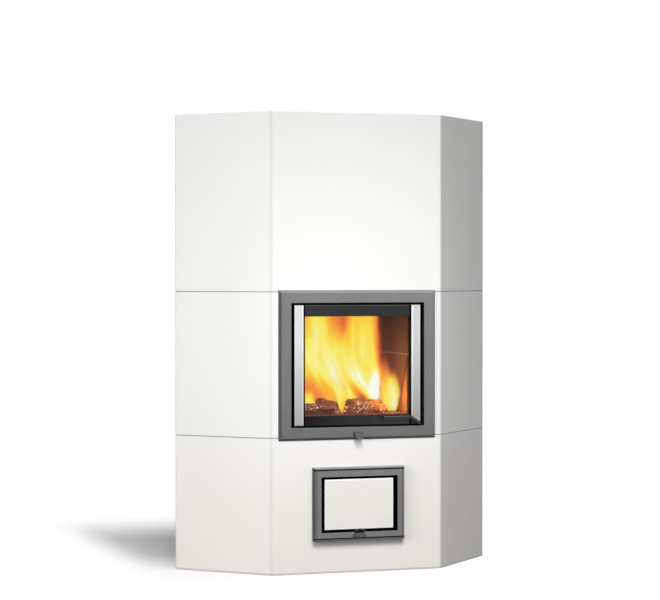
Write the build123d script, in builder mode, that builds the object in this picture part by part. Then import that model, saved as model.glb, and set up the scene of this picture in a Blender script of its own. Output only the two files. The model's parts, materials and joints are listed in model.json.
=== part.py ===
from build123d import *
import os
from math import radians, sqrt, tan

# Tiled corner stove. All sizes in mm. The origin lies on the floor, in the middle of the
# footprint's depth; +Y points at the room corner behind, +X to the viewer's right, +Z up.
# A setback is a distance behind the outer face of the front tiles; in front of it, it is negative.

# Tile cladding
height = 1860
jamb_width = 62.5
side_width = 450
lower_tier = 550
middle_tier = 587
tile_thickness = 40
back_thickness = 40
masonry_gap = 4
corner_bevel = 4
wall_bevel = 6
seam_bevel = 1.4
fit = 0.3

# Slabs and core walls
base_slab_thickness = 50
pedestal_thickness = 50
lintel_thickness = 40
top_slab_thickness = 40
lower_wall_thickness = 80
upper_wall_thickness = 60
casing_clearance = 13
core_front = 60
core_back = 440
block_count = 3
block_width = 520
duct_width = 280
duct_depth = 180
duct_shift = 60
duct_corner = 20

# Fire door surround
surround_width = 672
surround_height = 606
surround_drop = 12
surround_member = 52
surround_proud = 12
surround_bevel = 11
surround_lap = 36
inner_rim_bevel = 1.5
slot_height = 5.5
slot_play = 0.5

# Fire door
leaf_gap = 4
leaf_thickness = 24
leaf_front = -2
window_margin = 6.5
top_band = 50.5
bottom_band = 42.5
glass_thickness = 4
glass_lap = 12
glass_seat = 3
retainer_thickness = 3
retainer_lap = 2
strip_width = 40
strip_thickness = 5
strip_side_margin = 9.5
strip_end_margin = 4
strip_slant = 34
seal_width = 10
seal_margin_side = 30
seal_margin_end = 8
seal_depth = 6
seal_inner_corner = 4
leaf_bevel = 1
strip_bevel = 1.5
screw_radius = 3
screw_head = 2
flange_setback = 30

# Door hinge, handle and latch
hinge_inset = 12
hinge_setback = 4
hinge_pin_radius = 3
pin_play = 0.05
pin_depth = 20
pin_clearance = 2
pin_head = 0.8
pin_head_height = 2
ear_lap = 4
ear_width = 24
hinge_plate_height = 24
ear_thickness = 3
handle_inset = 16
handle_rise = 7
handle_boss = 6.5
handle_bevel = 1.5
grip_right = 224
grip_length = 116
grip_height = 10
grip_depth = 16
grip_rise = 25
grip_corner = 3
grip_step = 5
arm_tip = 5.5
arm_thickness = 7
arm_setback = -9
shaft_radius = 5
shaft_clearance = 1
cam_reach = 19
cam_tip = 5
cam_thickness = 4
cam_play = 1
stud_radius = 3
stud_play = 0.5
keeper_foot = 2
keeper_foot_radius = 6

# Insert casing, lining and air control
casing_margin = 22
casing_height = 526
casing_depth = 396
sheet = 5
rail_height = 54
rail_width = 40
rail_wall = 4
rail_setback = 30
flange_play = 8
flange_under = 18
flange_over = 32
flange_thickness = 4
flange_lap = 28
flange_opening_rise = 11
flange_opening_drop = 63
lining_thickness = 30
lower_course = 241
smoke_space = 80
hearth_thickness = 30
lining_play = 2
brick_bevel = 2
baffle_thickness = 20
baffle_front = 140
flue_radius = 75
flue_wall = 3
flue_setback = 300
collar_flange = 16
collar_play = 1
collar_sink = 3
collar_plunge = 35
grate_width = 200
grate_depth = 140
grate_thickness = 12
grate_slots = 9
grate_slot = 9
grate_rim = 20
grate_ledge = 15
grate_corner = 4
chute_width = 180
chute_depth = 120
chute_front = 160
chute_wall = 3
chute_flange = 15
air_inlet_width = 120
air_inlet_height = 20
air_box_gap = 16
air_box_width = 300
air_box_front = 45
air_holes = 6
air_hole_height = 12
shutter_width = 230
shutter_height = 37
shutter_thickness = 3
shutter_play = 0.3
guide_lip = 3
lever_width = 18
lever_travel = 9.5
lever_thickness = 4
lever_rise = 26.5
tab_width = 38
tab_drop = 25
tab_front = -33
tab_bevel = 6
tab_gap = 2

# Hatch
hatch_frame_width = 386
hatch_frame_height = 297
hatch_frame_bottom = 132
hatch_member = 30.5
hatch_member_top = 38
hatch_member_bottom = 34
hatch_proud = 30
hatch_bevel = 4
hatch_inner_bevel = 1
hatch_tile_bevel = 2
groove_inset = 8
groove_width = 4
groove_depth = 2
hatch_gap = 3
hatch_plate_thickness = 3
hatch_plate_setback = -11
hatch_tile_width = 293
hatch_tile_height = 203
hatch_tile_thickness = 10
hatch_pin_radius = 2.5
hatch_pin_seat = 10
hatch_pin_gap = 1
hatch_pin_clearance = 3
hatch_ear_radius = 7
hatch_ear_thickness = 4
pull_width = 40
pull_flare = 54
pull_drop = 26
pull_rise = 8
pull_neck = 12
pull_foot_height = 8
pull_window_width = 18
pull_window_height = 5
pull_thickness = 3
pull_lip = 3
pull_gap = 1.5
liner_depth = 400
liner_wall = 2
pan_width = 290
pan_front = 15
pan_back_gap = 20
pan_height = 75
pan_wall = 2

# Worked out from the above
insert_opening = surround_width - 2 * surround_lap
front_width = insert_opening + 2 * jamb_width
side_run = side_width / sqrt(2)
half_front = front_width / 2
half_width = half_front + side_run
depth = side_run + half_width
front_y = -depth / 2
tile_mitre = tile_thickness * tan(radians(22.5))
upper_bottom = lower_tier + middle_tier
pedestal_bottom = lower_tier - pedestal_thickness
slab_bottom = height - top_slab_thickness
surround_bottom = lower_tier - surround_drop
lever_level = surround_bottom + lever_rise
opening_width = surround_width - 2 * surround_member
opening_height = surround_height - 2 * surround_member
opening_bottom = surround_bottom + surround_member
opening_top = opening_bottom + opening_height
opening_middle = opening_bottom + opening_height / 2
leaf_width = opening_width - 2 * leaf_gap
leaf_height = opening_height - 2 * leaf_gap
leaf_bottom = opening_bottom + leaf_gap
leaf_top = leaf_bottom + leaf_height
leaf_back = leaf_front + leaf_thickness
hinge_x = -leaf_width / 2 + hinge_inset
handle_x = leaf_width / 2 - handle_inset
handle_z = leaf_bottom + handle_rise
window_width = leaf_width - 2 * (strip_side_margin + strip_width + window_margin)
window_height = leaf_height - top_band - bottom_band
window_bottom = leaf_bottom + bottom_band
casing_width = opening_width - 2 * casing_margin
casing_bottom = lower_tier + rail_height
casing_top = casing_bottom + casing_height
lintel_top = casing_top + lintel_thickness
core_half_width = casing_width / 2 + casing_clearance + upper_wall_thickness

parts_folder = "parts"
os.makedirs(parts_folder, exist_ok=True)


def save(piece, node):
    """Label one finished piece and write it under its node name."""
    piece.part.label = node
    export_step(piece.part, f"{parts_folder}/{node}.step")


def behind(setback):
    """Y of a place that lies setback behind the front tiles' face."""
    return front_y + setback


def face_plane(setback):
    """Upright plane facing the viewer: its x runs right, its y up, and extruding comes forward."""
    return Plane.XZ.offset(-behind(setback))


def block(width, bottom, top, front, back, x=0, bevel=0):
    """Upright rectangular slab or brick between two setbacks."""
    with BuildPart() as piece:
        with BuildSketch(Plane.XY.offset(bottom)):
            with Locations((x, behind((front + back) / 2))):
                Rectangle(width, back - front)
        extrude(amount=top - bottom)
        if bevel:
            chamfer(piece.edges(), length=bevel)
    return piece


def turned(points, side):
    """Plan points given for the left side (-1), or mirrored for the right side (1)."""
    return [(-side * x, y) for x, y in points]


# ---------------------------------------------------------------- tile cladding
# Plan points on the left: front corner, wall end, and the same two on the inner face.
front_corner = (-half_front, front_y)
corner_cut = corner_bevel / 2 / sqrt(2)
corner_mid = (-half_front + corner_bevel / 2 - corner_cut, front_y + corner_cut)
inner_corner = (-half_front + tile_mitre, front_y + tile_thickness)
wall_end = (-half_width, front_y + side_run)
wall_step = tile_thickness / sqrt(2)
inner_wall_end = (wall_end[0] + wall_step, wall_end[1] + wall_step)
back_step = back_thickness / sqrt(2)
panel_corner = (inner_wall_end[0] + back_step, inner_wall_end[1] - back_step)
room_corner = (0, behind(depth))
inner_room_corner = (0, behind(depth) - back_thickness * sqrt(2))


def slanted(start, along_x, along_y):
    """Point moved by a run on each axis; equal runs go along a side or a wall."""
    return (start[0] + along_x / sqrt(2), start[1] + along_y / sqrt(2))


def outer_rims(piece, outward):
    """Level edges round the outer face of a panel that faces outward."""
    reach = max(vertex.center().dot(outward) for vertex in piece.vertices())
    level = [edge for edge in piece.edges() if abs(edge.tangent_at(0.5).Z) < 0.5]
    return [edge for edge in level if reach - edge.center().dot(outward) < corner_bevel]


def panel(outline, bottom, tall, outward):
    """Tile panel on a plan outline, its level outer edges broken to form the seams."""
    with BuildPart() as piece:
        with BuildSketch(Plane.XY.offset(bottom)):
            with BuildLine():
                Polyline(*outline, close=True)
            make_face()
        extrude(amount=tall)
        chamfer(outer_rims(piece, outward), length=seam_bevel)
    return piece


def front_outline(left_end=None):
    """Mitred front tile, or only its left jamb up to left_end."""
    bevel_end = (-half_front + corner_bevel, front_y)
    left = [inner_corner, corner_mid, bevel_end]
    if left_end is None:
        right = turned(reversed(left), 1)
        return left + right
    return left + [(left_end, front_y), (left_end, front_y + tile_thickness)]


def side_outline(side):
    """Side tile: bevelled at the front corner and, more strongly, at the wall end."""
    points = [
        inner_corner,
        corner_mid,
        slanted(front_corner, -corner_bevel, corner_bevel),
        slanted(wall_end, wall_bevel, -wall_bevel),
        slanted(wall_end, wall_bevel, wall_bevel),
        inner_wall_end,
    ]
    return turned(points, side)


toward_viewer = Vector(0, -1, 0)
tier_levels = {
    "lower": (0, lower_tier),
    "middle": (lower_tier, middle_tier),
    "upper": (upper_bottom, height - upper_bottom),
}
side_names = {"left": -1, "right": 1}

for tier, (bottom, tall) in tier_levels.items():
    for side_name, side in side_names.items():
        outward = Vector(side, -1, 0).normalized()
        save(panel(side_outline(side), bottom, tall, outward), f"{tier}_tile_{side_name}")

save(panel(front_outline(), upper_bottom, height - upper_bottom, toward_viewer), "upper_tile_front")

for side_name, side in side_names.items():
    jamb_outline = turned(front_outline(-insert_opening / 2), side)
    save(panel(jamb_outline, lower_tier, middle_tier, toward_viewer), f"jamb_tile_{side_name}")

hatch_opening_width = hatch_frame_width - 2 * hatch_member
hatch_opening_height = hatch_frame_height - hatch_member_top - hatch_member_bottom
hatch_opening_bottom = hatch_frame_bottom + hatch_member_bottom
hatch_middle = hatch_opening_bottom + hatch_opening_height / 2
hatch_frame_middle = hatch_frame_bottom + hatch_frame_height / 2
liner_width = hatch_opening_width + 2 * liner_wall
liner_height = hatch_opening_height + 2 * liner_wall
liner_bottom = hatch_opening_bottom - liner_wall
liner_top = liner_bottom + liner_height

whole_front = panel(front_outline(), 0, lower_tier, toward_viewer)
with BuildPart() as lower_front:
    add(whole_front.part)
    with BuildSketch(face_plane(tile_thickness)):
        with Locations((0, hatch_middle)):
            Rectangle(liner_width + 2 * fit, liner_height + 2 * fit)
    extrude(amount=tile_thickness, mode=Mode.SUBTRACT)
save(lower_front, "lower_tile_front")

for side_name, side in side_names.items():
    wall_outline = turned([inner_wall_end, room_corner, inner_room_corner, panel_corner], side)
    with BuildPart() as wall_panel:
        with BuildSketch(Plane.XY):
            with BuildLine():
                Polyline(*wall_outline, close=True)
            make_face()
        extrude(amount=height)
        chamfer(wall_panel.faces().sort_by(Axis.Z)[-1].edges(), length=seam_bevel)
    save(wall_panel, f"wall_panel_{side_name}")

# ---------------------------------------------------------------- slabs and core
inner_outline = [inner_corner, panel_corner, inner_room_corner]
inner_outline += turned([panel_corner, inner_corner], 1)

with BuildPart() as base_slab:
    with BuildSketch(Plane.XY):
        with BuildLine():
            Polyline(*inner_outline, close=True)
        make_face()
        offset(amount=-fit, kind=Kind.INTERSECTION)
    extrude(amount=base_slab_thickness)
save(base_slab, "base_slab")

collar_flange_radius = flue_radius + flue_wall + collar_flange
with BuildPart() as top_slab:
    with BuildSketch(Plane.XY.offset(slab_bottom)):
        with BuildLine():
            Polyline(*inner_outline, close=True)
        make_face()
        offset(amount=-fit, kind=Kind.INTERSECTION)
        with Locations((0, behind(flue_setback))):
            Circle(collar_flange_radius + collar_play, mode=Mode.SUBTRACT)
    extrude(amount=top_slab_thickness)
    chamfer(top_slab.faces().sort_by(Axis.Z)[-1].edges(), length=seam_bevel)
save(top_slab, "top_slab")

for side_name, side in side_names.items():
    lower_x = side * (core_half_width - lower_wall_thickness / 2)
    upper_x = side * (core_half_width - upper_wall_thickness / 2)
    lower_wall = block(
        lower_wall_thickness, base_slab_thickness, pedestal_bottom, core_front, core_back, lower_x
    )
    upper_wall = block(upper_wall_thickness, lower_tier, casing_top, core_front, core_back, upper_x)
    save(lower_wall, f"lower_core_wall_{side_name}")
    save(upper_wall, f"upper_core_wall_{side_name}")

chute_middle = chute_front + chute_depth / 2
slab_front = tile_thickness + masonry_gap
whole_pedestal = block(2 * core_half_width, pedestal_bottom, lower_tier, slab_front, core_back)
with BuildPart() as pedestal:
    add(whole_pedestal.part)
    with BuildSketch(Plane.XY.offset(pedestal_bottom)):
        with Locations((0, behind(chute_middle))):
            Rectangle(chute_width + masonry_gap, chute_depth + masonry_gap)
    extrude(amount=pedestal_thickness, mode=Mode.SUBTRACT)
save(pedestal, "pedestal_slab")

whole_lintel = block(2 * core_half_width, casing_top, lintel_top, slab_front, core_back)
with BuildPart() as lintel:
    add(whole_lintel.part)
    with BuildSketch(Plane.XY.offset(casing_top)):
        with Locations((0, behind(flue_setback))):
            Circle(flue_radius + masonry_gap)
    extrude(amount=lintel_thickness, mode=Mode.SUBTRACT)
save(lintel, "lintel_slab")

# Heat storage blocks: their ducts lie left and right in turn, so the smoke winds upwards.
block_height = (slab_bottom - lintel_top) / block_count
for level in range(block_count):
    block_bottom = lintel_top + level * block_height
    duct_x = duct_shift if level % 2 else -duct_shift
    block_top = block_bottom + block_height
    whole_block = block(block_width, block_bottom, block_top, core_front, core_back)
    with BuildPart() as storage:
        add(whole_block.part)
        with BuildSketch(Plane.XY.offset(block_bottom)):
            with Locations((duct_x, behind(flue_setback))):
                RectangleRounded(duct_width, duct_depth, duct_corner)
        extrude(amount=block_height, mode=Mode.SUBTRACT)
    save(storage, f"storage_block_{level + 1}")

# Flue collar: a flanged tube that stands on the top block inside the top slab.
collar_top = height - collar_sink
collar_bottom = slab_bottom - collar_plunge
with BuildPart() as flue_collar:
    with BuildSketch(Plane.YZ):
        with BuildLine():
            Polyline(
                (behind(flue_setback) + flue_radius, collar_bottom),
                (behind(flue_setback) + flue_radius + flue_wall, collar_bottom),
                (behind(flue_setback) + flue_radius + flue_wall, slab_bottom),
                (behind(flue_setback) + collar_flange_radius, slab_bottom),
                (behind(flue_setback) + collar_flange_radius, slab_bottom + flue_wall),
                (behind(flue_setback) + flue_radius + flue_wall, slab_bottom + flue_wall),
                (behind(flue_setback) + flue_radius + flue_wall, collar_top),
                (behind(flue_setback) + flue_radius, collar_top),
                close=True,
            )
        make_face()
    revolve(axis=Axis((0, behind(flue_setback), 0), (0, 0, 1)))
save(flue_collar, "flue_collar")

# ---------------------------------------------------------------- insert casing
casing_front = flange_setback + flange_thickness
casing_back = casing_front + casing_depth
inner_half = casing_width / 2 - sheet
inner_bottom = casing_bottom + sheet
inner_top = casing_top - sheet
hearth_top = inner_bottom + hearth_thickness
lining_joint = hearth_top + lower_course
lining_top = inner_top - smoke_space
flange_width = insert_opening - 2 * flange_play
flange_bottom = opening_bottom - flange_under
flange_top = opening_top + flange_over
flange_opening_width = casing_width - 2 * flange_lap
flange_opening_bottom = casing_bottom + flange_opening_rise
flange_opening_height = casing_top - flange_opening_drop - flange_opening_bottom
lining_front = casing_front + lining_play
lining_back = casing_back - sheet
fire_back = lining_back - lining_thickness
flange_middle = (flange_bottom + flange_top) / 2
flange_opening_middle = flange_opening_bottom + flange_opening_height / 2

with BuildPart() as casing:
    with BuildSketch(face_plane(casing_back)):
        with Locations((0, (casing_bottom + casing_top) / 2)):
            Rectangle(casing_width, casing_top - casing_bottom)
    extrude(amount=casing_depth)
    with BuildSketch(face_plane(casing_back - sheet)):
        with Locations((0, (inner_bottom + inner_top) / 2)):
            Rectangle(2 * inner_half, inner_top - inner_bottom)
    extrude(amount=casing_depth - sheet, mode=Mode.SUBTRACT)
    with BuildSketch(face_plane(casing_front)):
        with Locations((0, flange_middle)):
            Rectangle(flange_width, flange_top - flange_bottom)
        with Locations((0, flange_opening_middle)):
            Rectangle(flange_opening_width, flange_opening_height, mode=Mode.SUBTRACT)
    extrude(amount=flange_thickness)
    with BuildSketch(Plane.XY.offset(casing_bottom)):
        with Locations((0, behind(chute_middle))):
            Rectangle(chute_width - 2 * chute_wall, chute_depth - 2 * chute_wall)
    extrude(amount=sheet, mode=Mode.SUBTRACT)
    with BuildSketch(Plane.XY.offset(inner_top)):
        with Locations((0, behind(flue_setback))):
            Circle(flue_radius)
    extrude(amount=sheet + lintel_thickness)
    with BuildSketch(Plane.XY.offset(inner_top)):
        with Locations((0, behind(flue_setback))):
            Circle(flue_radius - flue_wall)
    extrude(amount=sheet + lintel_thickness, mode=Mode.SUBTRACT)
save(casing, "insert_casing")

with BuildPart() as casing_rails:
    for side in side_names.values():
        with BuildSketch(face_plane(casing_back)):
            with Locations((side * (casing_width / 2 - rail_width / 2), lower_tier + rail_height / 2)):
                Rectangle(rail_width, rail_height)
            inset = side * (casing_width / 2 - rail_width / 2 - rail_wall)
            with Locations((inset, lower_tier + rail_height / 2)):
                Rectangle(rail_width, rail_height - 2 * rail_wall, mode=Mode.SUBTRACT)
        extrude(amount=casing_depth - rail_setback)
save(casing_rails, "casing_rails")

# Lining bricks stand on the hearth plate in two courses.
courses = {"lower": (hearth_top, lining_joint), "upper": (lining_joint, lining_top)}
for course, (bottom, top) in courses.items():
    for side_name, side in side_names.items():
        brick_x = side * (inner_half - fit - lining_thickness / 2)
        brick = block(lining_thickness, bottom, top, lining_front, fire_back, brick_x, brick_bevel)
        save(brick, f"{course}_lining_{side_name}")
    back_width = 2 * (inner_half - fit)
    back_brick = block(back_width, bottom, top, fire_back, lining_back - fit, 0, brick_bevel)
    save(back_brick, f"{course}_lining_back")

hearth_width = 2 * (inner_half - fit)
whole_hearth = block(hearth_width, inner_bottom, hearth_top, lining_front, lining_back - fit)
with BuildPart() as hearth:
    add(whole_hearth.part)
    with BuildSketch(Plane.XY.offset(inner_bottom)):
        with Locations((0, behind(chute_middle))):
            Rectangle(grate_width - 2 * grate_ledge, grate_depth - 2 * grate_ledge)
    extrude(amount=hearth_thickness, mode=Mode.SUBTRACT)
    with BuildSketch(Plane.XY.offset(hearth_top - grate_thickness)):
        with Locations((0, behind(chute_middle))):
            Rectangle(grate_width + 2 * fit, grate_depth + 2 * fit)
    extrude(amount=grate_thickness, mode=Mode.SUBTRACT)
save(hearth, "hearth_plate")

# Cast grate: a row of slots with rounded ends.
slot_pitch = (grate_width - 2 * grate_rim) / (grate_slots - 1)
with BuildPart() as grate:
    with BuildSketch(Plane.XY.offset(hearth_top - grate_thickness)):
        with Locations((0, behind(chute_middle))):
            RectangleRounded(grate_width, grate_depth, grate_corner)
            with GridLocations(slot_pitch, 0, grate_slots, 1):
                SlotOverall(grate_depth - 2 * grate_rim, grate_slot, rotation=90, mode=Mode.SUBTRACT)
    extrude(amount=grate_thickness)
save(grate, "grate")

baffle = block(
    2 * (inner_half - fit), lining_top, lining_top + baffle_thickness, baffle_front, lining_back - fit,
    0, brick_bevel,
)
save(baffle, "smoke_baffle")

# Ash chute from the casing floor to the liner, hung by a flange on the pedestal slab.
with BuildPart() as ash_chute:
    with BuildSketch(Plane.XY.offset(liner_top)):
        with Locations((0, behind(chute_middle))):
            Rectangle(chute_width, chute_depth)
    extrude(amount=casing_bottom - liner_top)
    with BuildSketch(Plane.XY.offset(lower_tier)):
        with Locations((0, behind(chute_middle))):
            Rectangle(chute_width + 2 * chute_flange, chute_depth + 2 * chute_flange)
    extrude(amount=chute_wall)
    with BuildSketch(Plane.XY.offset(liner_top)):
        with Locations((0, behind(chute_middle))):
            Rectangle(chute_width - 2 * chute_wall, chute_depth - 2 * chute_wall)
    extrude(amount=casing_bottom - liner_top, mode=Mode.SUBTRACT)
    with BuildSketch(face_plane(chute_middle)):
        with Locations((0, lever_level)):
            Rectangle(air_inlet_width, air_inlet_height)
    extrude(amount=chute_depth, mode=Mode.SUBTRACT)
save(ash_chute, "ash_chute")

# ---------------------------------------------------------------- air control
air_back = chute_front - air_box_gap
air_hole_pitch = shutter_width / air_holes
air_middle = (lower_tier + casing_bottom) / 2
shutter_back = air_box_front - shutter_play
shutter_front = shutter_back - shutter_thickness
shutter_bottom = air_middle - shutter_height / 2
shutter_top = air_middle + shutter_height / 2
guide_front = shutter_front - shutter_play - guide_lip
with BuildPart() as air_box:
    with BuildSketch(Plane.XY.offset(lower_tier)):
        with Locations((0, behind((air_box_front + air_back) / 2))):
            Rectangle(air_box_width, air_back - air_box_front)
    extrude(amount=casing_bottom - lower_tier)
    with BuildSketch(Plane.XY.offset(lower_tier + chute_wall)):
        with Locations((0, behind((air_box_front + chute_wall + air_back) / 2))):
            Rectangle(air_box_width - 2 * chute_wall, air_back - air_box_front - chute_wall)
    extrude(amount=casing_bottom - lower_tier - 2 * chute_wall, mode=Mode.SUBTRACT)
    with BuildSketch(face_plane(air_box_front + chute_wall)):
        with Locations((air_hole_pitch / 4, air_middle)):
            with GridLocations(air_hole_pitch, 0, air_holes, 1):
                Rectangle(air_hole_pitch / 2, air_hole_height)
    extrude(amount=chute_wall, mode=Mode.SUBTRACT)
    for edge_level, way in ((shutter_bottom, -1), (shutter_top, 1)):
        outer_level = edge_level + way * (shutter_play + guide_lip)
        seat_level = edge_level + way * shutter_play
        lip_level = edge_level - way * guide_lip
        with BuildSketch(Plane.YZ.offset(-air_box_width / 2)):
            with BuildLine():
                Polyline(
                    (behind(air_box_front), outer_level),
                    (behind(air_box_front), seat_level),
                    (behind(shutter_front - shutter_play), seat_level),
                    (behind(shutter_front - shutter_play), lip_level),
                    (behind(guide_front), lip_level),
                    (behind(guide_front), outer_level),
                    close=True,
                )
            make_face()
        extrude(amount=air_box_width)
save(air_box, "air_box")

with BuildPart() as air_shutter:
    with BuildSketch(face_plane(shutter_back)):
        with Locations((0, air_middle)):
            Rectangle(shutter_width, shutter_height)
            with GridLocations(air_hole_pitch, 0, air_holes, 1):
                Rectangle(air_hole_pitch / 2, air_hole_height, mode=Mode.SUBTRACT)
    extrude(amount=shutter_thickness)
save(air_shutter, "air_shutter")

# Lever: a wedge-shaped tab, bevelled at its sides, on a flat arm from the shutter through the slot.
lever_bottom = lever_level - lever_thickness / 2
lever_top = lever_level + lever_thickness / 2
tab_back = -surround_proud - tab_gap
tab_top_front = tab_back - lever_thickness
with BuildPart() as air_lever:
    with BuildSketch(Plane.YZ.offset(-tab_width / 2)):
        with BuildLine():
            Polyline(
                (behind(tab_back), lever_top),
                (behind(tab_top_front), lever_top),
                (behind(tab_front), lever_top - tab_drop),
                (behind(tab_front + lever_thickness), lever_top - tab_drop),
                (behind(tab_back), lever_bottom),
                close=True,
            )
        make_face()
    extrude(amount=tab_width)
    with BuildSketch(Plane.XY.offset(lever_top - tab_drop)):
        with BuildLine():
            Polyline(
                (-tab_width / 2, behind(tab_back)),
                (-tab_width / 2, behind(tab_top_front)),
                (-tab_width / 2 + tab_bevel, behind(tab_front)),
                (tab_width / 2 - tab_bevel, behind(tab_front)),
                (tab_width / 2, behind(tab_top_front)),
                (tab_width / 2, behind(tab_back)),
                close=True,
            )
        make_face()
    extrude(amount=tab_drop, mode=Mode.INTERSECT)
    with BuildSketch(Plane.YZ.offset(-lever_width / 2)):
        with BuildLine():
            Polyline(
                (behind(shutter_front), lever_bottom),
                (behind(shutter_front), lever_top),
                (behind(tab_back), lever_top),
                (behind(tab_back), lever_bottom),
                close=True,
            )
        make_face()
    extrude(amount=lever_width)
save(air_lever, "air_lever")

# ---------------------------------------------------------------- fire door surround
with BuildPart() as surround:
    with BuildSketch(face_plane(0)):
        with Locations((0, opening_middle)):
            Rectangle(surround_width, surround_height)
            Rectangle(opening_width, opening_height, mode=Mode.SUBTRACT)
    extrude(amount=surround_proud)
    front_face = surround.faces().sort_by(Axis.Y)[0]
    chamfer(front_face.outer_wire().edges(), length=surround_bevel)
    inner_rim = surround.faces().sort_by(Axis.Y)[0].inner_wires()[0]
    chamfer(inner_rim.edges(), length=inner_rim_bevel)
    with BuildSketch(face_plane(0)):
        with Locations((0, lever_level)):
            Rectangle(lever_width + 2 * (lever_travel + slot_play), slot_height)
    extrude(amount=surround_proud, mode=Mode.SUBTRACT)
save(surround, "door_surround")

# ---------------------------------------------------------------- fire door leaf
window_middle = window_bottom + window_height / 2
glass_width = window_width + 2 * glass_lap
glass_height = window_height + 2 * glass_lap
glass_back = glass_seat + glass_thickness
seal_outer_width = leaf_width - 2 * seal_margin_side
seal_outer_height = leaf_height - 2 * seal_margin_end
seal_corner = seal_width + seal_inner_corner

with BuildPart() as door_leaf:
    with BuildSketch(face_plane(leaf_back)):
        with Locations((0, opening_middle)):
            Rectangle(leaf_width, leaf_height)
        with Locations((0, window_middle)):
            Rectangle(window_width, window_height, mode=Mode.SUBTRACT)
    extrude(amount=leaf_thickness)
    with BuildSketch(face_plane(leaf_back)):
        with Locations((0, window_middle)):
            Rectangle(glass_width + 2 * fit, glass_height + 2 * fit)
    extrude(amount=leaf_back - glass_seat, mode=Mode.SUBTRACT)
    with BuildSketch(face_plane(leaf_back)):
        with Locations((0, opening_middle)):
            RectangleRounded(seal_outer_width, seal_outer_height, seal_corner)
            RectangleRounded(
                seal_outer_width - 2 * seal_width, seal_outer_height - 2 * seal_width,
                seal_corner - seal_width, mode=Mode.SUBTRACT,
            )
    extrude(amount=seal_depth, mode=Mode.SUBTRACT)
    with BuildSketch(Plane.XY.offset(leaf_top)):
        with Locations((hinge_x, behind(hinge_setback))):
            Circle(hinge_pin_radius + pin_play)
    extrude(amount=-(pin_depth + pin_clearance), mode=Mode.SUBTRACT)
    with BuildSketch(Plane.XY.offset(leaf_bottom)):
        with Locations((hinge_x, behind(hinge_setback))):
            Circle(hinge_pin_radius + pin_play)
    extrude(amount=pin_depth + pin_clearance, mode=Mode.SUBTRACT)
    with BuildSketch(face_plane(leaf_back)):
        with Locations((handle_x, handle_z)):
            Circle(shaft_radius + pin_play)
    extrude(amount=leaf_thickness, mode=Mode.SUBTRACT)
    chamfer(door_leaf.faces().sort_by(Axis.Y)[0].outer_wire().edges(), length=leaf_bevel)
save(door_leaf, "door_leaf")

with BuildPart() as door_glass:
    with BuildSketch(face_plane(glass_back)):
        with Locations((0, window_middle)):
            Rectangle(glass_width, glass_height)
    extrude(amount=glass_thickness)
save(door_glass, "door_glass")

with BuildPart() as glass_retainer:
    with BuildSketch(face_plane(glass_back + retainer_thickness)):
        with Locations((0, window_middle)):
            Rectangle(glass_width, glass_height)
            Rectangle(
                window_width + 2 * retainer_lap, window_height + 2 * retainer_lap, mode=Mode.SUBTRACT
            )
    extrude(amount=retainer_thickness)
save(glass_retainer, "glass_retainer")

screw_inset = (glass_lap - retainer_lap) / 2
with BuildPart() as retainer_screws:
    with BuildSketch(face_plane(glass_back + retainer_thickness + screw_head)):
        with Locations((0, window_middle)):
            with GridLocations(glass_width - 2 * screw_inset, (glass_height - 2 * screw_inset) / 2, 2, 3):
                RegularPolygon(screw_radius, 6)
    extrude(amount=screw_head)
save(retainer_screws, "retainer_screws")

with BuildPart() as door_seal:
    with BuildSketch(face_plane(flange_setback - fit)):
        with Locations((0, opening_middle)):
            RectangleRounded(seal_outer_width - 2 * fit, seal_outer_height - 2 * fit, seal_corner - fit)
            RectangleRounded(
                seal_outer_width - 2 * seal_width + 2 * fit,
                seal_outer_height - 2 * seal_width + 2 * fit,
                seal_corner - seal_width + fit,
                mode=Mode.SUBTRACT,
            )
    extrude(amount=flange_setback - fit - (leaf_back - seal_depth))
save(door_seal, "door_seal")

# The right strip ends on a slant, above the handle's arm.
strip_bottom = leaf_bottom + strip_end_margin
for side_name, side in side_names.items():
    strip_x = side * (leaf_width / 2 - strip_side_margin - strip_width / 2)
    with BuildPart() as strip:
        with BuildSketch(face_plane(leaf_front)):
            with Locations((strip_x, opening_middle)):
                Rectangle(strip_width, leaf_height - 2 * strip_end_margin)
        extrude(amount=strip_thickness)
        chamfer(strip.faces().sort_by(Axis.Y)[0].outer_wire().edges(), length=strip_bevel)
        if side > 0:
            with BuildSketch(face_plane(leaf_front)):
                with BuildLine():
                    Polyline(
                        (strip_x - strip_width / 2, strip_bottom),
                        (strip_x - strip_width / 2, strip_bottom + strip_slant),
                        (strip_x + strip_width / 2, strip_bottom),
                        close=True,
                    )
                make_face()
                with Locations((handle_x, handle_z)):
                    Circle(shaft_radius + shaft_clearance)
            extrude(amount=strip_thickness, mode=Mode.SUBTRACT)
    save(strip, f"door_strip_{side_name}")

# ---------------------------------------------------------------- door hinge
ear_reach = hinge_setback - hinge_pin_radius - ear_lap
ear_play = (leaf_gap - ear_thickness) / 2
with BuildPart() as hinge_brackets:
    for edge_level, way in ((leaf_bottom, -1), (leaf_top, 1)):
        near = edge_level + way * ear_play
        far = near + way * ear_thickness
        with BuildSketch(Plane.XY.offset(min(near, far))):
            with Locations((hinge_x, behind((ear_reach + flange_setback) / 2))):
                Rectangle(ear_width, flange_setback - ear_reach)
            with Locations((hinge_x, behind(hinge_setback))):
                Circle(hinge_pin_radius + pin_play, mode=Mode.SUBTRACT)
        extrude(amount=ear_thickness)
        with BuildSketch(face_plane(flange_setback)):
            with Locations((hinge_x, near + way * hinge_plate_height / 2)):
                Rectangle(ear_width, hinge_plate_height)
        extrude(amount=ear_thickness)
save(hinge_brackets, "hinge_brackets")

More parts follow.
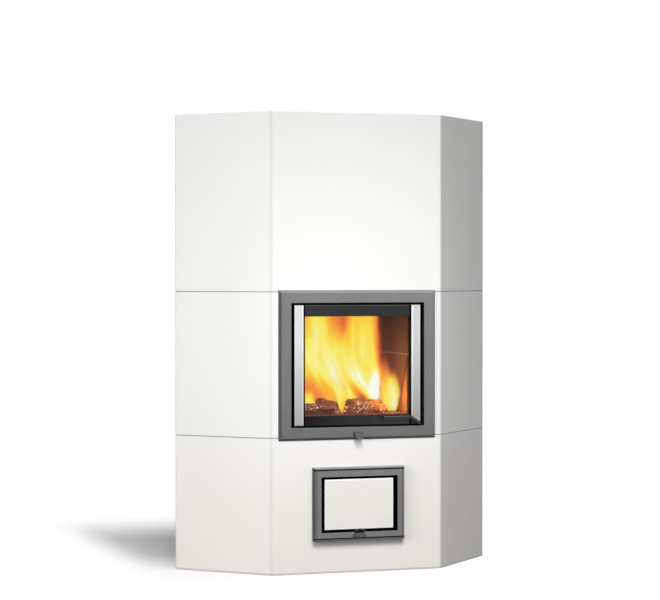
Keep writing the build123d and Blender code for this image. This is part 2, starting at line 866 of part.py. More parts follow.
with BuildPart() as hinge_pins:
    for edge_level, way in ((leaf_bottom, -1), (leaf_top, 1)):
        ear_outside = edge_level + way * (ear_play + ear_thickness)
        tip = edge_level - way * pin_depth
        with BuildSketch(Plane.XY.offset(tip)):
            with Locations((hinge_x, behind(hinge_setback))):
                Circle(hinge_pin_radius)
        extrude(amount=ear_outside - tip)
        with BuildSketch(Plane.XY.offset(ear_outside)):
            with Locations((hinge_x, behind(hinge_setback))):
                Circle(hinge_pin_radius + pin_head)
        extrude(amount=way * pin_head_height)
save(hinge_pins, "hinge_pins")

# ---------------------------------------------------------------- door handle and latch
grip_z = handle_z + grip_rise
grip_back = arm_setback - grip_step
with BuildPart() as door_handle:
    with BuildSketch(face_plane(arm_setback)):
        with Locations((handle_x, handle_z)):
            Circle(handle_boss)
        with Locations((grip_right, grip_z)):
            Circle(arm_tip)
        make_hull()
    extrude(amount=arm_thickness)
    with BuildSketch(face_plane(grip_back)):
        with Locations((grip_right - grip_length / 2, grip_z)):
            RectangleRounded(grip_length + grip_height, grip_height, grip_corner)
    extrude(amount=grip_depth)
    chamfer(door_handle.faces().sort_by(Axis.Y)[0].outer_wire().edges(), length=handle_bevel)
save(door_handle, "door_handle")

cam_front = leaf_back + cam_play
cam_back = cam_front + cam_thickness
with BuildPart() as latch_shaft:
    with BuildSketch(face_plane(cam_back)):
        with Locations((handle_x, handle_z)):
            Circle(handle_boss)
        with Locations((handle_x, handle_z + cam_reach - cam_tip)):
            Circle(cam_tip)
        make_hull()
    extrude(amount=cam_thickness)
    with BuildSketch(face_plane(cam_front)):
        with Locations((handle_x, handle_z)):
            Circle(shaft_radius)
    extrude(amount=cam_front - arm_setback)
save(latch_shaft, "latch_shaft")

# Keeper: a stud over the cam, on a round foot that is welded to the casing's front flange.
keeper_z = handle_z + cam_reach + fit + stud_radius
with BuildPart() as latch_keeper:
    with BuildSketch(face_plane(flange_setback)):
        with Locations((handle_x, keeper_z)):
            Circle(keeper_foot_radius)
    extrude(amount=keeper_foot)
    with BuildSketch(face_plane(flange_setback)):
        with Locations((handle_x, keeper_z)):
            Circle(stud_radius)
    extrude(amount=flange_setback - leaf_back - stud_play)
save(latch_keeper, "latch_keeper")

# ---------------------------------------------------------------- hatch frame and liner
hinge_level = hatch_middle + hatch_tile_height / 2
hatch_pin_setback = hatch_plate_setback - hatch_plate_thickness
groove_outer_width = hatch_frame_width - 2 * groove_inset
groove_outer_height = hatch_frame_height - 2 * groove_inset
with BuildPart() as hatch_frame:
    with BuildSketch(face_plane(0)):
        with Locations((0, hatch_frame_middle)):
            Rectangle(hatch_frame_width, hatch_frame_height)
        with Locations((0, hatch_middle)):
            Rectangle(hatch_opening_width, hatch_opening_height, mode=Mode.SUBTRACT)
    extrude(amount=hatch_proud)
    chamfer(hatch_frame.faces().sort_by(Axis.Y)[0].outer_wire().edges(), length=hatch_bevel)
    chamfer(hatch_frame.faces().sort_by(Axis.Y)[0].inner_wires()[0].edges(), length=hatch_inner_bevel)
    with BuildSketch(face_plane(groove_depth - hatch_proud)):
        with Locations((0, hatch_frame_middle)):
            Rectangle(groove_outer_width, groove_outer_height)
            Rectangle(
                groove_outer_width - 2 * groove_width, groove_outer_height - 2 * groove_width,
                mode=Mode.SUBTRACT,
            )
    extrude(amount=groove_depth, mode=Mode.SUBTRACT)
    with BuildSketch(Plane.YZ.offset(-hatch_opening_width / 2 - hatch_pin_seat)):
        with Locations((behind(hatch_pin_setback), hinge_level)):
            Circle(hatch_pin_radius + pin_play)
    extrude(amount=hatch_opening_width + 2 * hatch_pin_seat, mode=Mode.SUBTRACT)
save(hatch_frame, "hatch_frame")

with BuildPart() as liner:
    with BuildSketch(face_plane(liner_depth)):
        with Locations((0, hatch_middle)):
            Rectangle(liner_width, liner_height)
    extrude(amount=liner_depth)
    with BuildSketch(face_plane(liner_depth - liner_wall)):
        with Locations((0, hatch_middle)):
            Rectangle(hatch_opening_width, hatch_opening_height)
    extrude(amount=liner_depth - liner_wall, mode=Mode.SUBTRACT)
    with BuildSketch(Plane.XY.offset(liner_top - liner_wall)):
        with Locations((0, behind(chute_middle))):
            Rectangle(chute_width - 2 * chute_wall, chute_depth - 2 * chute_wall)
    extrude(amount=liner_wall, mode=Mode.SUBTRACT)
save(liner, "ash_compartment")

plinth = block(liner_width, base_slab_thickness, liner_bottom, slab_front, liner_depth)
save(plinth, "compartment_plinth")

pan_back = liner_depth - pan_back_gap
pan_bottom = hatch_opening_bottom + fit
with BuildPart() as ash_pan:
    with BuildSketch(Plane.XY.offset(pan_bottom)):
        with Locations((0, behind((pan_front + pan_back) / 2))):
            Rectangle(pan_width, pan_back - pan_front)
    extrude(amount=pan_height)
    offset(amount=-pan_wall, openings=ash_pan.faces().sort_by(Axis.Z)[-1], kind=Kind.INTERSECTION)
save(ash_pan, "ash_pan")

# ---------------------------------------------------------------- hatch
hatch_width = hatch_opening_width - 2 * hatch_gap
hatch_height = hatch_opening_height - 2 * hatch_gap
hatch_half = hatch_width / 2
ear_half_length = hatch_ear_thickness / 2
with BuildPart() as hatch_plate:
    with BuildSketch(face_plane(hatch_plate_setback)):
        with Locations((0, hatch_middle)):
            Rectangle(hatch_width, hatch_height)
    extrude(amount=hatch_plate_thickness)
    for side in side_names.values():
        ear_start = side * (hatch_half - ear_half_length) - ear_half_length
        with BuildSketch(Plane.YZ.offset(ear_start)):
            with Locations((behind(hatch_pin_setback), hinge_level)):
                Circle(hatch_ear_radius)
        extrude(amount=hatch_ear_thickness)
    with BuildSketch(Plane.YZ.offset(-hatch_half)):
        with Locations((behind(hatch_pin_setback), hinge_level)):
            Circle(hatch_pin_radius + pin_play)
    extrude(amount=hatch_ear_thickness + hatch_pin_clearance, mode=Mode.SUBTRACT)
    with BuildSketch(Plane.YZ.offset(hatch_half)):
        with Locations((behind(hatch_pin_setback), hinge_level)):
            Circle(hatch_pin_radius + pin_play)
    extrude(amount=-(hatch_ear_thickness + hatch_pin_clearance), mode=Mode.SUBTRACT)
save(hatch_plate, "hatch_plate")

with BuildPart() as hatch_tile:
    with BuildSketch(face_plane(hatch_pin_setback)):
        with Locations((0, hatch_middle)):
            Rectangle(hatch_tile_width, hatch_tile_height)
    extrude(amount=hatch_tile_thickness)
    chamfer(hatch_tile.faces().sort_by(Axis.Y)[0].outer_wire().edges(), length=hatch_tile_bevel)
save(hatch_tile, "hatch_tile")

pin_tip = hatch_half - hatch_ear_thickness - hatch_pin_gap
pin_reach = hatch_opening_width / 2 + hatch_pin_seat - fit
with BuildPart() as hatch_pins:
    for side in side_names.values():
        with BuildSketch(Plane.YZ.offset(side * pin_tip)):
            with Locations((behind(hatch_pin_setback), hinge_level)):
                Circle(hatch_pin_radius)
        extrude(amount=side * (pin_reach - pin_tip))
save(hatch_pins, "hatch_pins")

# Pull: a level leg, and in front of the frame's lower member a lip with a window and a flared foot.
pull_bottom = hatch_opening_bottom + hatch_gap
leg_top = pull_bottom + pull_thickness
pull_foot = leg_top - pull_drop
pull_back_face = -hatch_proud - pull_gap
pull_front = pull_back_face - pull_thickness
with BuildPart() as hatch_pull:
    with BuildSketch(Plane.XY.offset(pull_bottom)):
        with Locations((0, behind((pull_front + hatch_pin_setback) / 2))):
            Rectangle(pull_width, hatch_pin_setback - pull_front)
    extrude(amount=pull_thickness)
    with BuildSketch(face_plane(pull_back_face)):
        with BuildLine():
            Polyline(
                (-pull_width / 2, leg_top + pull_rise),
                (pull_width / 2, leg_top + pull_rise),
                (pull_width / 2, leg_top - pull_neck),
                (pull_flare / 2, pull_foot + pull_foot_height),
                (pull_flare / 2, pull_foot),
                (-pull_flare / 2, pull_foot),
                (-pull_flare / 2, pull_foot + pull_foot_height),
                (-pull_width / 2, leg_top - pull_neck),
                close=True,
            )
        make_face()
        with Locations((0, leg_top + pull_window_height / 2)):
            Rectangle(pull_window_width, pull_window_height, mode=Mode.SUBTRACT)
    extrude(amount=pull_thickness)
    with BuildSketch(face_plane(pull_front)):
        with Locations((0, pull_foot + pull_lip / 2)):
            Rectangle(pull_flare, pull_lip)
    extrude(amount=pull_lip)
save(hatch_pull, "hatch_pull")
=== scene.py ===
"""Finishes, fire and small fittings for the tiled corner stove."""

import json
import math
import random

import bpy
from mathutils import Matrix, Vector


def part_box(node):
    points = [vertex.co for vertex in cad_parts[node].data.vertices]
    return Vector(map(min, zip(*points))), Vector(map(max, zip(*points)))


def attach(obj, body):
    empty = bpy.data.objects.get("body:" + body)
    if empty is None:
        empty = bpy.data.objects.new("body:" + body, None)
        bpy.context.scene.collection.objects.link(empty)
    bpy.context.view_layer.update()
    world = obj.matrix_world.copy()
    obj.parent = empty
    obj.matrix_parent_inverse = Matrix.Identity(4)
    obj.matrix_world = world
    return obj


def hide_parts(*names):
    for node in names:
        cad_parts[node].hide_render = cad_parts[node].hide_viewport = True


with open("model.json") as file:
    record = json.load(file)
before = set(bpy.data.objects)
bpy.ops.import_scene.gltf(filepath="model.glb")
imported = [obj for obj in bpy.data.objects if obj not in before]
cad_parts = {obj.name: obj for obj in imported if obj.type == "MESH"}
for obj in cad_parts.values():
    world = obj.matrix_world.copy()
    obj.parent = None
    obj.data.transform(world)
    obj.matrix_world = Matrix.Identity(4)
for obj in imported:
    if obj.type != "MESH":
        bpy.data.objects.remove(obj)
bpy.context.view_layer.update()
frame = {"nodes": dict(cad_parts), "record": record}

# Places taken from the stove's own parts, in metres
TILE_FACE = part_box("jamb_tile_left")[0].y
FRONT_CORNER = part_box("jamb_tile_right")[1].x
SIDE_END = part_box("lower_tile_right")[1].x
LOWER_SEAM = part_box("lower_tile_left")[1].z
UPPER_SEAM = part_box("upper_tile_left")[0].z
HEARTH_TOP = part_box("hearth_plate")[1].z
FIREBOX_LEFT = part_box("lower_lining_left")[1].x
FIREBOX_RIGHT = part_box("lower_lining_right")[0].x
FIREBOX_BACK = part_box("lower_lining_back")[0].y
LINING_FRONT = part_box("lower_lining_left")[0].y
LINING_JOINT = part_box("lower_lining_left")[1].z
STRIP_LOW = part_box("door_strip_left")[0].z
STRIP_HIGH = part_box("door_strip_left")[1].z
STRIP_INNER = -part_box("door_strip_left")[1].x
STRIP_OUTER = -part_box("door_strip_left")[0].x
HATCH_FRAME_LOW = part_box("hatch_frame")[0].z
HATCH_FRAME_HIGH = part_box("hatch_frame")[1].z
HATCH_FRAME_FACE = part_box("hatch_frame")[0].y

# Upright rectangles in the middle of the stove: half width, low edge, high edge, in metres
OPENING = (0.284, 0.59, 1.092)
HATCH_OPENING = (0.1625, 0.166, 0.391)
HATCH_TILE = (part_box("hatch_tile")[1].x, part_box("hatch_tile")[0].z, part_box("hatch_tile")[1].z)

# Edges inside a part, which its box doesn't give, in metres
WINDOW_HALF, WINDOW_LOW = 0.224, 0.6365
LIP_LOW, LIP_HIGH = 1.079, 1.0835
GROOVE_START = 0.0074
PULL_WINDOW_LOW, PULL_WINDOW_HIGH = 0.1632, 0.1726
SEAM_HALF = 0.0022

# Tones by which a paint is multiplied: the first paints black shade into gaps, the second paints a
# highlight
GAP_SHADE = 0.006
PAINTED_HIGHLIGHT = 1.34


# ---- shader building blocks: every value is a plain one or another node's socket
def is_socket(value):
    """Whether a value comes out of a node."""
    return isinstance(value, bpy.types.NodeSocket)


def feed(socket, value):
    """Link another socket's value, or set a plain one."""
    if is_socket(value):
        socket.id_data.links.new(value, socket)
    else:
        socket.default_value = value


def add_node(kind, *values):
    """New node in the tree that these values come from."""
    tree = next(value.id_data for value in values if is_socket(value))
    return tree.nodes.new(kind)


def stretch(vector, scale=(1, 1, 1), move=(0, 0, 0), turn=(0, 0, 0)):
    """Any place stretched, turned and moved."""
    mapping = add_node("ShaderNodeMapping", vector)
    feed(mapping.inputs["Vector"], vector)
    mapping.inputs["Location"].default_value = move
    mapping.inputs["Rotation"].default_value = turn
    mapping.inputs["Scale"].default_value = scale
    return mapping.outputs[0]


def place(tree, turn=(0, 0, 0)):
    """Object coordinates in metres, turned."""
    coordinates = tree.nodes.new("ShaderNodeTexCoord")
    return stretch(coordinates.outputs["Object"], turn=turn)


def axis(where, letter):
    """One coordinate of a place."""
    split = add_node("ShaderNodeSeparateXYZ", where)
    feed(split.inputs[0], where)
    return split.outputs[letter]


def cloud(where, scale, detail=4, roughness=0.55):
    """Soft random patches."""
    noise = add_node("ShaderNodeTexNoise", where)
    feed(noise.inputs["Vector"], where)
    noise.inputs["Scale"].default_value = scale
    noise.inputs["Detail"].default_value = detail
    noise.inputs["Roughness"].default_value = roughness
    return noise.outputs["Fac"]


def cells(where, scale, feature="F1", randomness=1):
    """Distance in a field of random cells, or to their edges."""
    voronoi = add_node("ShaderNodeTexVoronoi", where)
    voronoi.feature = feature
    feed(voronoi.inputs["Vector"], where)
    voronoi.inputs["Scale"].default_value = scale
    voronoi.inputs["Randomness"].default_value = randomness
    return voronoi.outputs["Distance"]


def calc(operation, first, second=0.0, clamp=False):
    """One arithmetic step."""
    step = add_node("ShaderNodeMath", first, second)
    step.operation = operation
    step.use_clamp = clamp
    feed(step.inputs[0], first)
    feed(step.inputs[1], second)
    return step.outputs[0]


def rescale(value, low, high, to_low=0.0, to_high=1.0):
    """Stretch a range smoothly onto another, with its ends held."""
    step = add_node("ShaderNodeMapRange", value)
    step.interpolation_type = "SMOOTHSTEP"
    feed(step.inputs["Value"], value)
    step.inputs["From Min"].default_value = low
    step.inputs["From Max"].default_value = high
    step.inputs["To Min"].default_value = to_low
    step.inputs["To Max"].default_value = to_high
    return step.outputs["Result"]


def rescale_plain(value, low, high):
    """Stretch a range onto 0 to 1 in a straight line."""
    return calc("DIVIDE", calc("SUBTRACT", value, low), high - low, clamp=True)


def shades(factor, stops):
    """Colours along a scale: (position, (r, g, b)) from low to high."""
    ramp = add_node("ShaderNodeValToRGB", factor)
    feed(ramp.inputs[0], factor)
    elements = ramp.color_ramp.elements
    while len(elements) < len(stops):
        elements.new(0.5)
    for element, (position, colour) in zip(elements, stops):
        element.position = position
        element.color = (*colour, 1)
    return ramp.outputs["Color"]


def two_tone(factor, dark, pale, low=0.3, high=0.7):
    """From one colour to another along a scale."""
    return shades(factor, [(low, dark), (high, pale)])


def by_height(where, levels):
    """A grey scale up the stove: (height, level) from low to high."""
    top = 1.2
    scale = rescale_plain(axis(where, "Z"), 0, top)
    return shades(scale, [(height / top, (level, level, level)) for height, level in levels])


def mix(factor, first, second, mode="MIX"):
    """Blend two colours."""
    step = add_node("ShaderNodeMix", factor, first, second)
    step.data_type = "RGBA"
    step.blend_type = mode
    feed(step.inputs["Factor"], factor)
    colour_sockets = step.inputs[6:8]
    for socket, value in zip(colour_sockets, (first, second)):
        feed(socket, value if is_socket(value) else (*value, 1))
    return step.outputs[2]


def tinted(mask, tone, factor):
    """A tone multiplied by a grey level or a colour where the mask is."""
    if isinstance(factor, (int, float)):
        factor = (factor, factor, factor)
    return mix(mask, tone, factor, "MULTIPLY")


# ---- finishes: the material and its shaders
def blank_finish(name):
    """Material with an empty node tree, and its output."""
    material = bpy.data.materials.new(name)
    material.use_nodes = True
    tree = material.node_tree
    tree.nodes.clear()
    output = tree.nodes.new("ShaderNodeOutputMaterial")
    return material, tree, output.inputs["Surface"]


def new_finish(name, turn=(0, 0, 0)):
    """Material with one Principled shader, the shader, and the place on the part."""
    material, tree, output = blank_finish(name)
    shader = tree.nodes.new("ShaderNodeBsdfPrincipled")
    feed(output, shader.outputs[0])
    return material, shader, place(tree, turn)


def surface(shader, colour, roughness, metallic=0):
    """Give a shader its colour, roughness and metallic share."""
    feed(shader.inputs["Base Color"], colour)
    feed(shader.inputs["Roughness"], roughness)
    shader.inputs["Metallic"].default_value = metallic


def alight(shader, colour, strength):
    """Let a surface glow."""
    feed(shader.inputs["Emission Color"], colour)
    feed(shader.inputs["Emission Strength"], strength)


def relief(shader, height, depth, strength=1.0):
    """Bump the surface by a height field, depth in metres."""
    bump = add_node("ShaderNodeBump", height)
    feed(bump.inputs["Height"], height)
    bump.inputs["Distance"].default_value = depth
    bump.inputs["Strength"].default_value = strength
    feed(shader.inputs["Normal"], bump.outputs[0])


def blend(factor, first, second):
    """Two shader nodes blended into one shader."""
    step = add_node("ShaderNodeMixShader", factor)
    feed(step.inputs["Fac"], factor)
    feed(step.inputs[1], first)
    feed(step.inputs[2], second)
    return step.outputs[0]


# ---- masks: 1 inside, 0 outside
def both(first, second):
    """Where two masks meet."""
    return calc("MULTIPLY", first, second)


def either(first, second):
    """Where one mask or the other is."""
    return calc("MAXIMUM", first, second)


def without(mask):
    """Where a mask isn't."""
    return calc("SUBTRACT", 1.0, mask)


def up_to(value, full, none):
    """Below a value, fading from full to none."""
    return rescale(value, full, none, 1, 0)


def between(value, low, high, soft=0.0003):
    """From low to high, with soft ends."""
    rising = rescale(value, low - soft, low + soft)
    return both(rising, up_to(value, high - soft, high + soft))


def near_level(where, level, half):
    """On a level line across the piece."""
    off_line = calc("ABSOLUTE", calc("SUBTRACT", axis(where, "Z"), level))
    return up_to(off_line, half * 0.4, half)


def facing(where, letter, least, soft=0.1):
    """Where the surface faces along an axis of the part (least > 0) or against it (least < 0)."""
    coordinates = add_node("ShaderNodeTexCoord", where)
    turned = axis(coordinates.outputs["Normal"], letter)
    if least < 0:
        turned = calc("MULTIPLY", turned, -1.0)
    return rescale(turned, abs(least) - soft, abs(least) + soft)


def off_middle(where):
    """Distance to the left or right of the stove's middle."""
    return calc("ABSOLUTE", axis(where, "X"))


def outside(where, half_x, low, high):
    """Distance out of an upright rectangle in the middle of the stove, negative inside it."""
    across = calc("SUBTRACT", off_middle(where), half_x)
    height = calc("SUBTRACT", axis(where, "Z"), (low + high) / 2)
    along = calc("SUBTRACT", calc("ABSOLUTE", height), (high - low) / 2)
    return calc("MAXIMUM", across, along)


def any_ray(tree, *kinds):
    """Light rays of any of these kinds."""
    path = tree.nodes.new("ShaderNodeLightPath")
    found, *others = [path.outputs[kind] for kind in kinds]
    for other in others:
        found = either(found, other)
    return found


# ---- tile, concrete, brick and stone
def tile_corner(where):
    """Thin darker lines along the front's two corners."""
    across, back = axis(where, "X"), axis(where, "Y")
    left_end = up_to(across, 0.0022 - FRONT_CORNER, 0.0032 - FRONT_CORNER)
    left_depth = up_to(back, TILE_FACE + 0.0062, TILE_FACE + 0.007)
    right_end = rescale(across, FRONT_CORNER, FRONT_CORNER + 0.0005, 0, 0.3)
    right_depth = up_to(back, TILE_FACE + 0.0045, TILE_FACE + 0.0052)
    return either(both(left_end, left_depth), both(right_end, right_depth))


def tile_edge(where):
    """Thin darker lines: painted contact shade along the foot, and a line at the right face's outer
    end.
    """
    foot = up_to(axis(where, "Z"), 0.0068, 0.0078)
    outer = rescale(axis(where, "X"), SIDE_END - 0.008, SIDE_END - 0.007)
    return either(foot, both(outer, facing(where, "X", 0.5)))


def white_tile(name, rim=None, tone=1):
    """Smooth white tile: faint clouds, tiny pits, dusty joints between tiers, darker corner lines,
    painted contact shade at the foot, painted warm bounce light low down, a painted highlight round
    a rim.
    """
    material, shader, where = new_finish(name)
    clouds = cloud(where, 2.2, 3)
    pits = rescale(cloud(where, 55, 5, 0.6), 0.24, 0.32, 0.96, 1)
    body = two_tone(clouds, (0.878, 0.873, 0.858), (0.892, 0.887, 0.873))
    glazed = tinted(1, body, pits)
    seams = [near_level(where, level, SEAM_HALF) for level in (LOWER_SEAM, UPPER_SEAM)]
    low_tier = up_to(axis(where, "Z"), 0.3, 0.62)
    joint_dust, edge_darkening = (0.2, 0.197, 0.19), (0.74, 0.735, 0.73)
    bounce_warm, highlight_white = (1.015, 0.992, 0.966), (0.99, 0.985, 0.97)
    glazed = tinted(1, mix(either(*seams), glazed, joint_dust), tone)
    glazed = tinted(tile_corner(where), glazed, 0.85)
    # Painted contact shade along the foot, and a darker line at the right face's outer end
    glazed = tinted(tile_edge(where), glazed, edge_darkening)
    # Painted warm bounce light: the tiles tinted warmer low down
    glazed = tinted(low_tier, glazed, bounce_warm)
    if rim:
        # Painted highlight along the tile's rim
        rim_highlight = rescale(outside(where, *rim), -0.0062, -0.0052)
        glazed = mix(rim_highlight, glazed, highlight_white)
    surface(shader, glazed, rescale(clouds, 0.3, 0.7, 0.42, 0.55))
    relief(shader, cloud(where, 5, 1), 0.0004, 0.2)
    return material


def cast_concrete(name, dark, pale, grain=60):
    """Cast concrete: cloudy tone, sand grain, small air holes with painted shade inside."""
    material, shader, where = new_finish(name)
    sand = cloud(where, grain * 6, 3, 0.7)
    solid = rescale(cells(where, grain), 0.06, 0.12)
    tone = two_tone(cloud(where, 4, 6, 0.6), dark, pale)
    tone = mix(0.35, tone, sand, "OVERLAY")
    # Painted shade inside the air holes
    hole_shade = [level * 0.55 for level in dark]
    surface(shader, mix(solid, hole_shade, tone), 0.86)
    height = calc("ADD", calc("MULTIPLY", sand, 0.4), solid)
    relief(shader, height, 0.0008, 0.6)
    return material


def fire_streak(where):
    """A dark red streak on the right lining, further forward the higher it is."""
    top, top_depth, slant = 0.81, 0.056, 0.53
    drop = calc("SUBTRACT", top, axis(where, "Z"))
    depth = calc("SUBTRACT", axis(where, "Y"), TILE_FACE)
    depth = calc("SUBTRACT", depth, top_depth)
    across = calc("SUBTRACT", depth, calc("MULTIPLY", drop, slant))
    line = rescale(calc("ABSOLUTE", across), 0.006, 0.014, 0.95, 0)
    return both(line, facing(where, "X", -0.5))


def fire_brick():
    """Refractory brick: red-brown and cream grain, with soot that thickens upwards."""
    material, shader, where = new_finish("fire brick")
    patches = cloud(where, 7, 5, 0.6)
    grit = cells(where, 180)
    pits = rescale(cells(where, 75), 0.08, 0.2)
    clay = two_tone(patches, (0.2, 0.05, 0.024), (0.3, 0.09, 0.045))
    cream, soot_black = (0.36, 0.19, 0.11), (0.028, 0.021, 0.018)
    mortar, deep_red = (0.44, 0.27, 0.17), (0.13, 0.016, 0.008)
    tone = mix(rescale(grit, 0.15, 0.4, 0.35, 0), clay, cream)
    soot_height = calc("ADD", axis(where, "Z"), calc("MULTIPLY", patches, 0.25))
    soot = rescale(soot_height, 0.95, 1.3, 0, 0.8)
    tone = mix(soot, tone, soot_black)
    tone = mix(near_level(where, LINING_JOINT, 0.004), tone, mortar)
    tone = mix(fire_streak(where), tone, deep_red)
    surface(shader, tone, 0.9)
    relief(shader, calc("ADD", pits, calc("MULTIPLY", grit, 0.5)), 0.0012, 0.7)
    return material


def storage_stone():
    """Dense dark storage stone with pale and rusty specks."""
    material, shader, where = new_finish("storage stone")
    tone = two_tone(cloud(where, 12, 5), (0.1, 0.095, 0.09), (0.17, 0.16, 0.15))
    specks = rescale(cells(where, 150), 0.1, 0.2, 0.8, 0)
    rust = rescale(cells(where, 90), 0.06, 0.12, 0.7, 0)
    speck_grey, rust_brown = (0.33, 0.31, 0.28), (0.22, 0.11, 0.05)
    tone = mix(rust, mix(specks, tone, speck_grey), rust_brown)
    surface(shader, tone, 0.7)
    relief(shader, cloud(where, 160, 3), 0.0006, 0.5)
    return material


# ---- stove paint and its tones by place: painted shade and highlights
def stove_paint(name, dark, pale, roughness, tones=None):
    """Sprayed metallic stove paint: powdery grain, faint clouds, and tones (mask, factor)."""
    material, shader, where = new_finish(name)
    spray = cloud(where, 900, 2, 0.6)
    tone = mix(0.18, two_tone(cloud(where, 6, 4), dark, pale), spray, "OVERLAY")
    for mask, factor in tones(where) if tones else ():
        tone = tinted(mask, tone, factor)
    shine = rescale(spray, 0.3, 0.7, roughness - 0.06, roughness + 0.06)
    surface(shader, tone, shine, metallic=1)
    relief(shader, spray, 0.0002, 0.25)
    return material


def opening_tones(where, opening, shaded):
    """A frame's outer part, its inner rim, and painted shade on the reveals round its opening: grey
    on those facing left, black on the others.
    """
    beyond = outside(where, *opening)
    reveal = up_to(beyond, 0.0002, 0.0004)
    to_left = facing(where, "X", -0.5)
    # Painted shade on the reveals
    reveals = [(both(reveal, to_left), shaded), (both(reveal, without(to_left)), GAP_SHADE)]
    return without(reveal), between(beyond, 0.0006, 0.0018), reveals


def surround_tones(where):
    """Fire door frame: painted shade on its outer edges and reveals, a painted highlight on its
    inner rim, painted darker low down.
    """
    outer, rim, reveals = opening_tones(where, OPENING, shaded=0.4)
    # Painted shade: darker low down
    levels = [(0.54, 0.67), (0.62, 0.77), (0.85, 0.885), (1.0, 0.95), (1.12, 1.0)]
    # Painted shade on the outer bevels, by the way each faces
    edges = (("X", -0.4, 0.78), ("X", 0.4, 0.81), ("Z", -0.4, 0.44), ("Z", 0.4, 0.76))
    return [
        (1.0, by_height(where, levels)),
        *[(both(outer, facing(where, way, least)), painted_shade) for way, least, painted_shade in edges],
        # Painted highlight on the inner rim
        (rim, PAINTED_HIGHLIGHT),
        *reveals,
    ]


def hatch_frame_tones(where):
    """Hatch frame: painted shade low down, on its left edge, dark in its level grooves and lighter
    in the upright ones, under the pull and along its foot; painted highlights beside the level
    grooves and on its inner rim.
    """
    height, back = axis(where, "Z"), axis(where, "Y")
    outer, rim, reveals = opening_tones(where, HATCH_OPENING, shaded=0.3)
    low_end = HATCH_FRAME_LOW + GROOVE_START
    high_end = HATCH_FRAME_HIGH - GROOVE_START
    groove_low = between(height, low_end, low_end + 0.0052)
    groove_high = between(height, high_end - 0.0054, high_end)
    groove = either(groove_low, groove_high)
    groove_floor = between(back, HATCH_FRAME_FACE + 0.0015, HATCH_FRAME_FACE + 0.0025)
    edge_low = between(height, low_end + 0.0048, low_end + 0.0064)
    edge_high = between(height, HATCH_FRAME_HIGH - 0.002, HATCH_FRAME_HIGH)
    edges = either(edge_low, edge_high)
    # Painted shadow of the pull
    pull_shadow = between(off_middle(where), 0, 0.0215, 0.0015)
    return [
        # Painted shade: darker low down, on the left edge, in the grooves and along the foot
        (1.0, by_height(where, [(0.132, 0.75), (0.28, 0.8), (0.42, 0.86)])),
        (both(outer, facing(where, "X", -0.4)), 0.44),
        (groove, 0.03),
        (both(pull_shadow, between(height, 0.161, 0.168, 0.003)), 0.35),
        (both(groove_floor, without(groove)), 0.8),
        (up_to(height, low_end + 0.0001, low_end + 0.0005), 0.62),
        # Painted highlights on the inner rim and beside the grooves
        (either(rim, edges), PAINTED_HIGHLIGHT),
        *reveals,
    ]


def plate_tones(where):
    """Hatch plate: painted black shade in the gap round the tile."""
    return [(rescale(outside(where, *HATCH_TILE), -0.0008, -0.0004), 0.01)]


def pull_tones(where):
    """Hatch pull: painted shade round its window and on its slanting sides, a little lighter along
    its foot.
    """
    height = axis(where, "Z")
    across = between(off_middle(where), -0.01, 0.0185)
    window = both(across, between(height, PULL_WINDOW_LOW, PULL_WINDOW_HIGH))
    sides = either(facing(where, "X", -0.3), facing(where, "X", 0.3))
    foot = up_to(height, PULL_WINDOW_LOW - 0.002, PULL_WINDOW_LOW - 0.0002)
    # Painted shade on the sides and in the window; the foot a little lighter
    return [(sides, 0.3), (foot, 1.1), (window, 0.08)]


def lever_tones(where):
    """Air lever: painted shade on its top slope, left side and front."""
    ways = (("Z", 0.3, 0.33), ("X", -0.5, 0.31), ("Y", -0.5, 0.76))
    # Painted shade by the way each face turns
    return [(facing(where, way, least), painted_shade) for way, least, painted_shade in ways]


def leaf_tones(where):
    """Door leaf: painted black shade round strips and rim, a painted highlight on its upper lip,
    and a painted reflection across its lower band, darker at the left.
    """
    across, height = off_middle(where), axis(where, "Z")
    sides = either(
        rescale(across, STRIP_OUTER - 0.0012, STRIP_OUTER - 0.0008),
        between(across, WINDOW_HALF - 0.0005, STRIP_INNER + 0.0005))
    ends = either(
        rescale(height, STRIP_HIGH - 0.0002, STRIP_HIGH + 0.0002),
        up_to(height, STRIP_LOW - 0.0012, STRIP_LOW - 0.0008))
    lower = up_to(height, WINDOW_LOW - 0.001, WINDOW_LOW)
    sweep = rescale_plain(axis(where, "X"), -0.22, 0.2)
    return [
        # Painted highlight on the lip, painted reflection across the lower band, painted shade in
        # the gaps
        (between(height, LIP_LOW, LIP_HIGH), 2.1),
        (lower, two_tone(sweep, (0.45, 0.45, 0.45), (1.3, 1.3, 1.3), 0, 1)),
        (either(sides, ends), 0.01),
    ]


def handle_tones(where):
    """Door handle: a painted highlight on the grip's top."""
    return [(facing(where, "Z", 0.6), 1.6)]


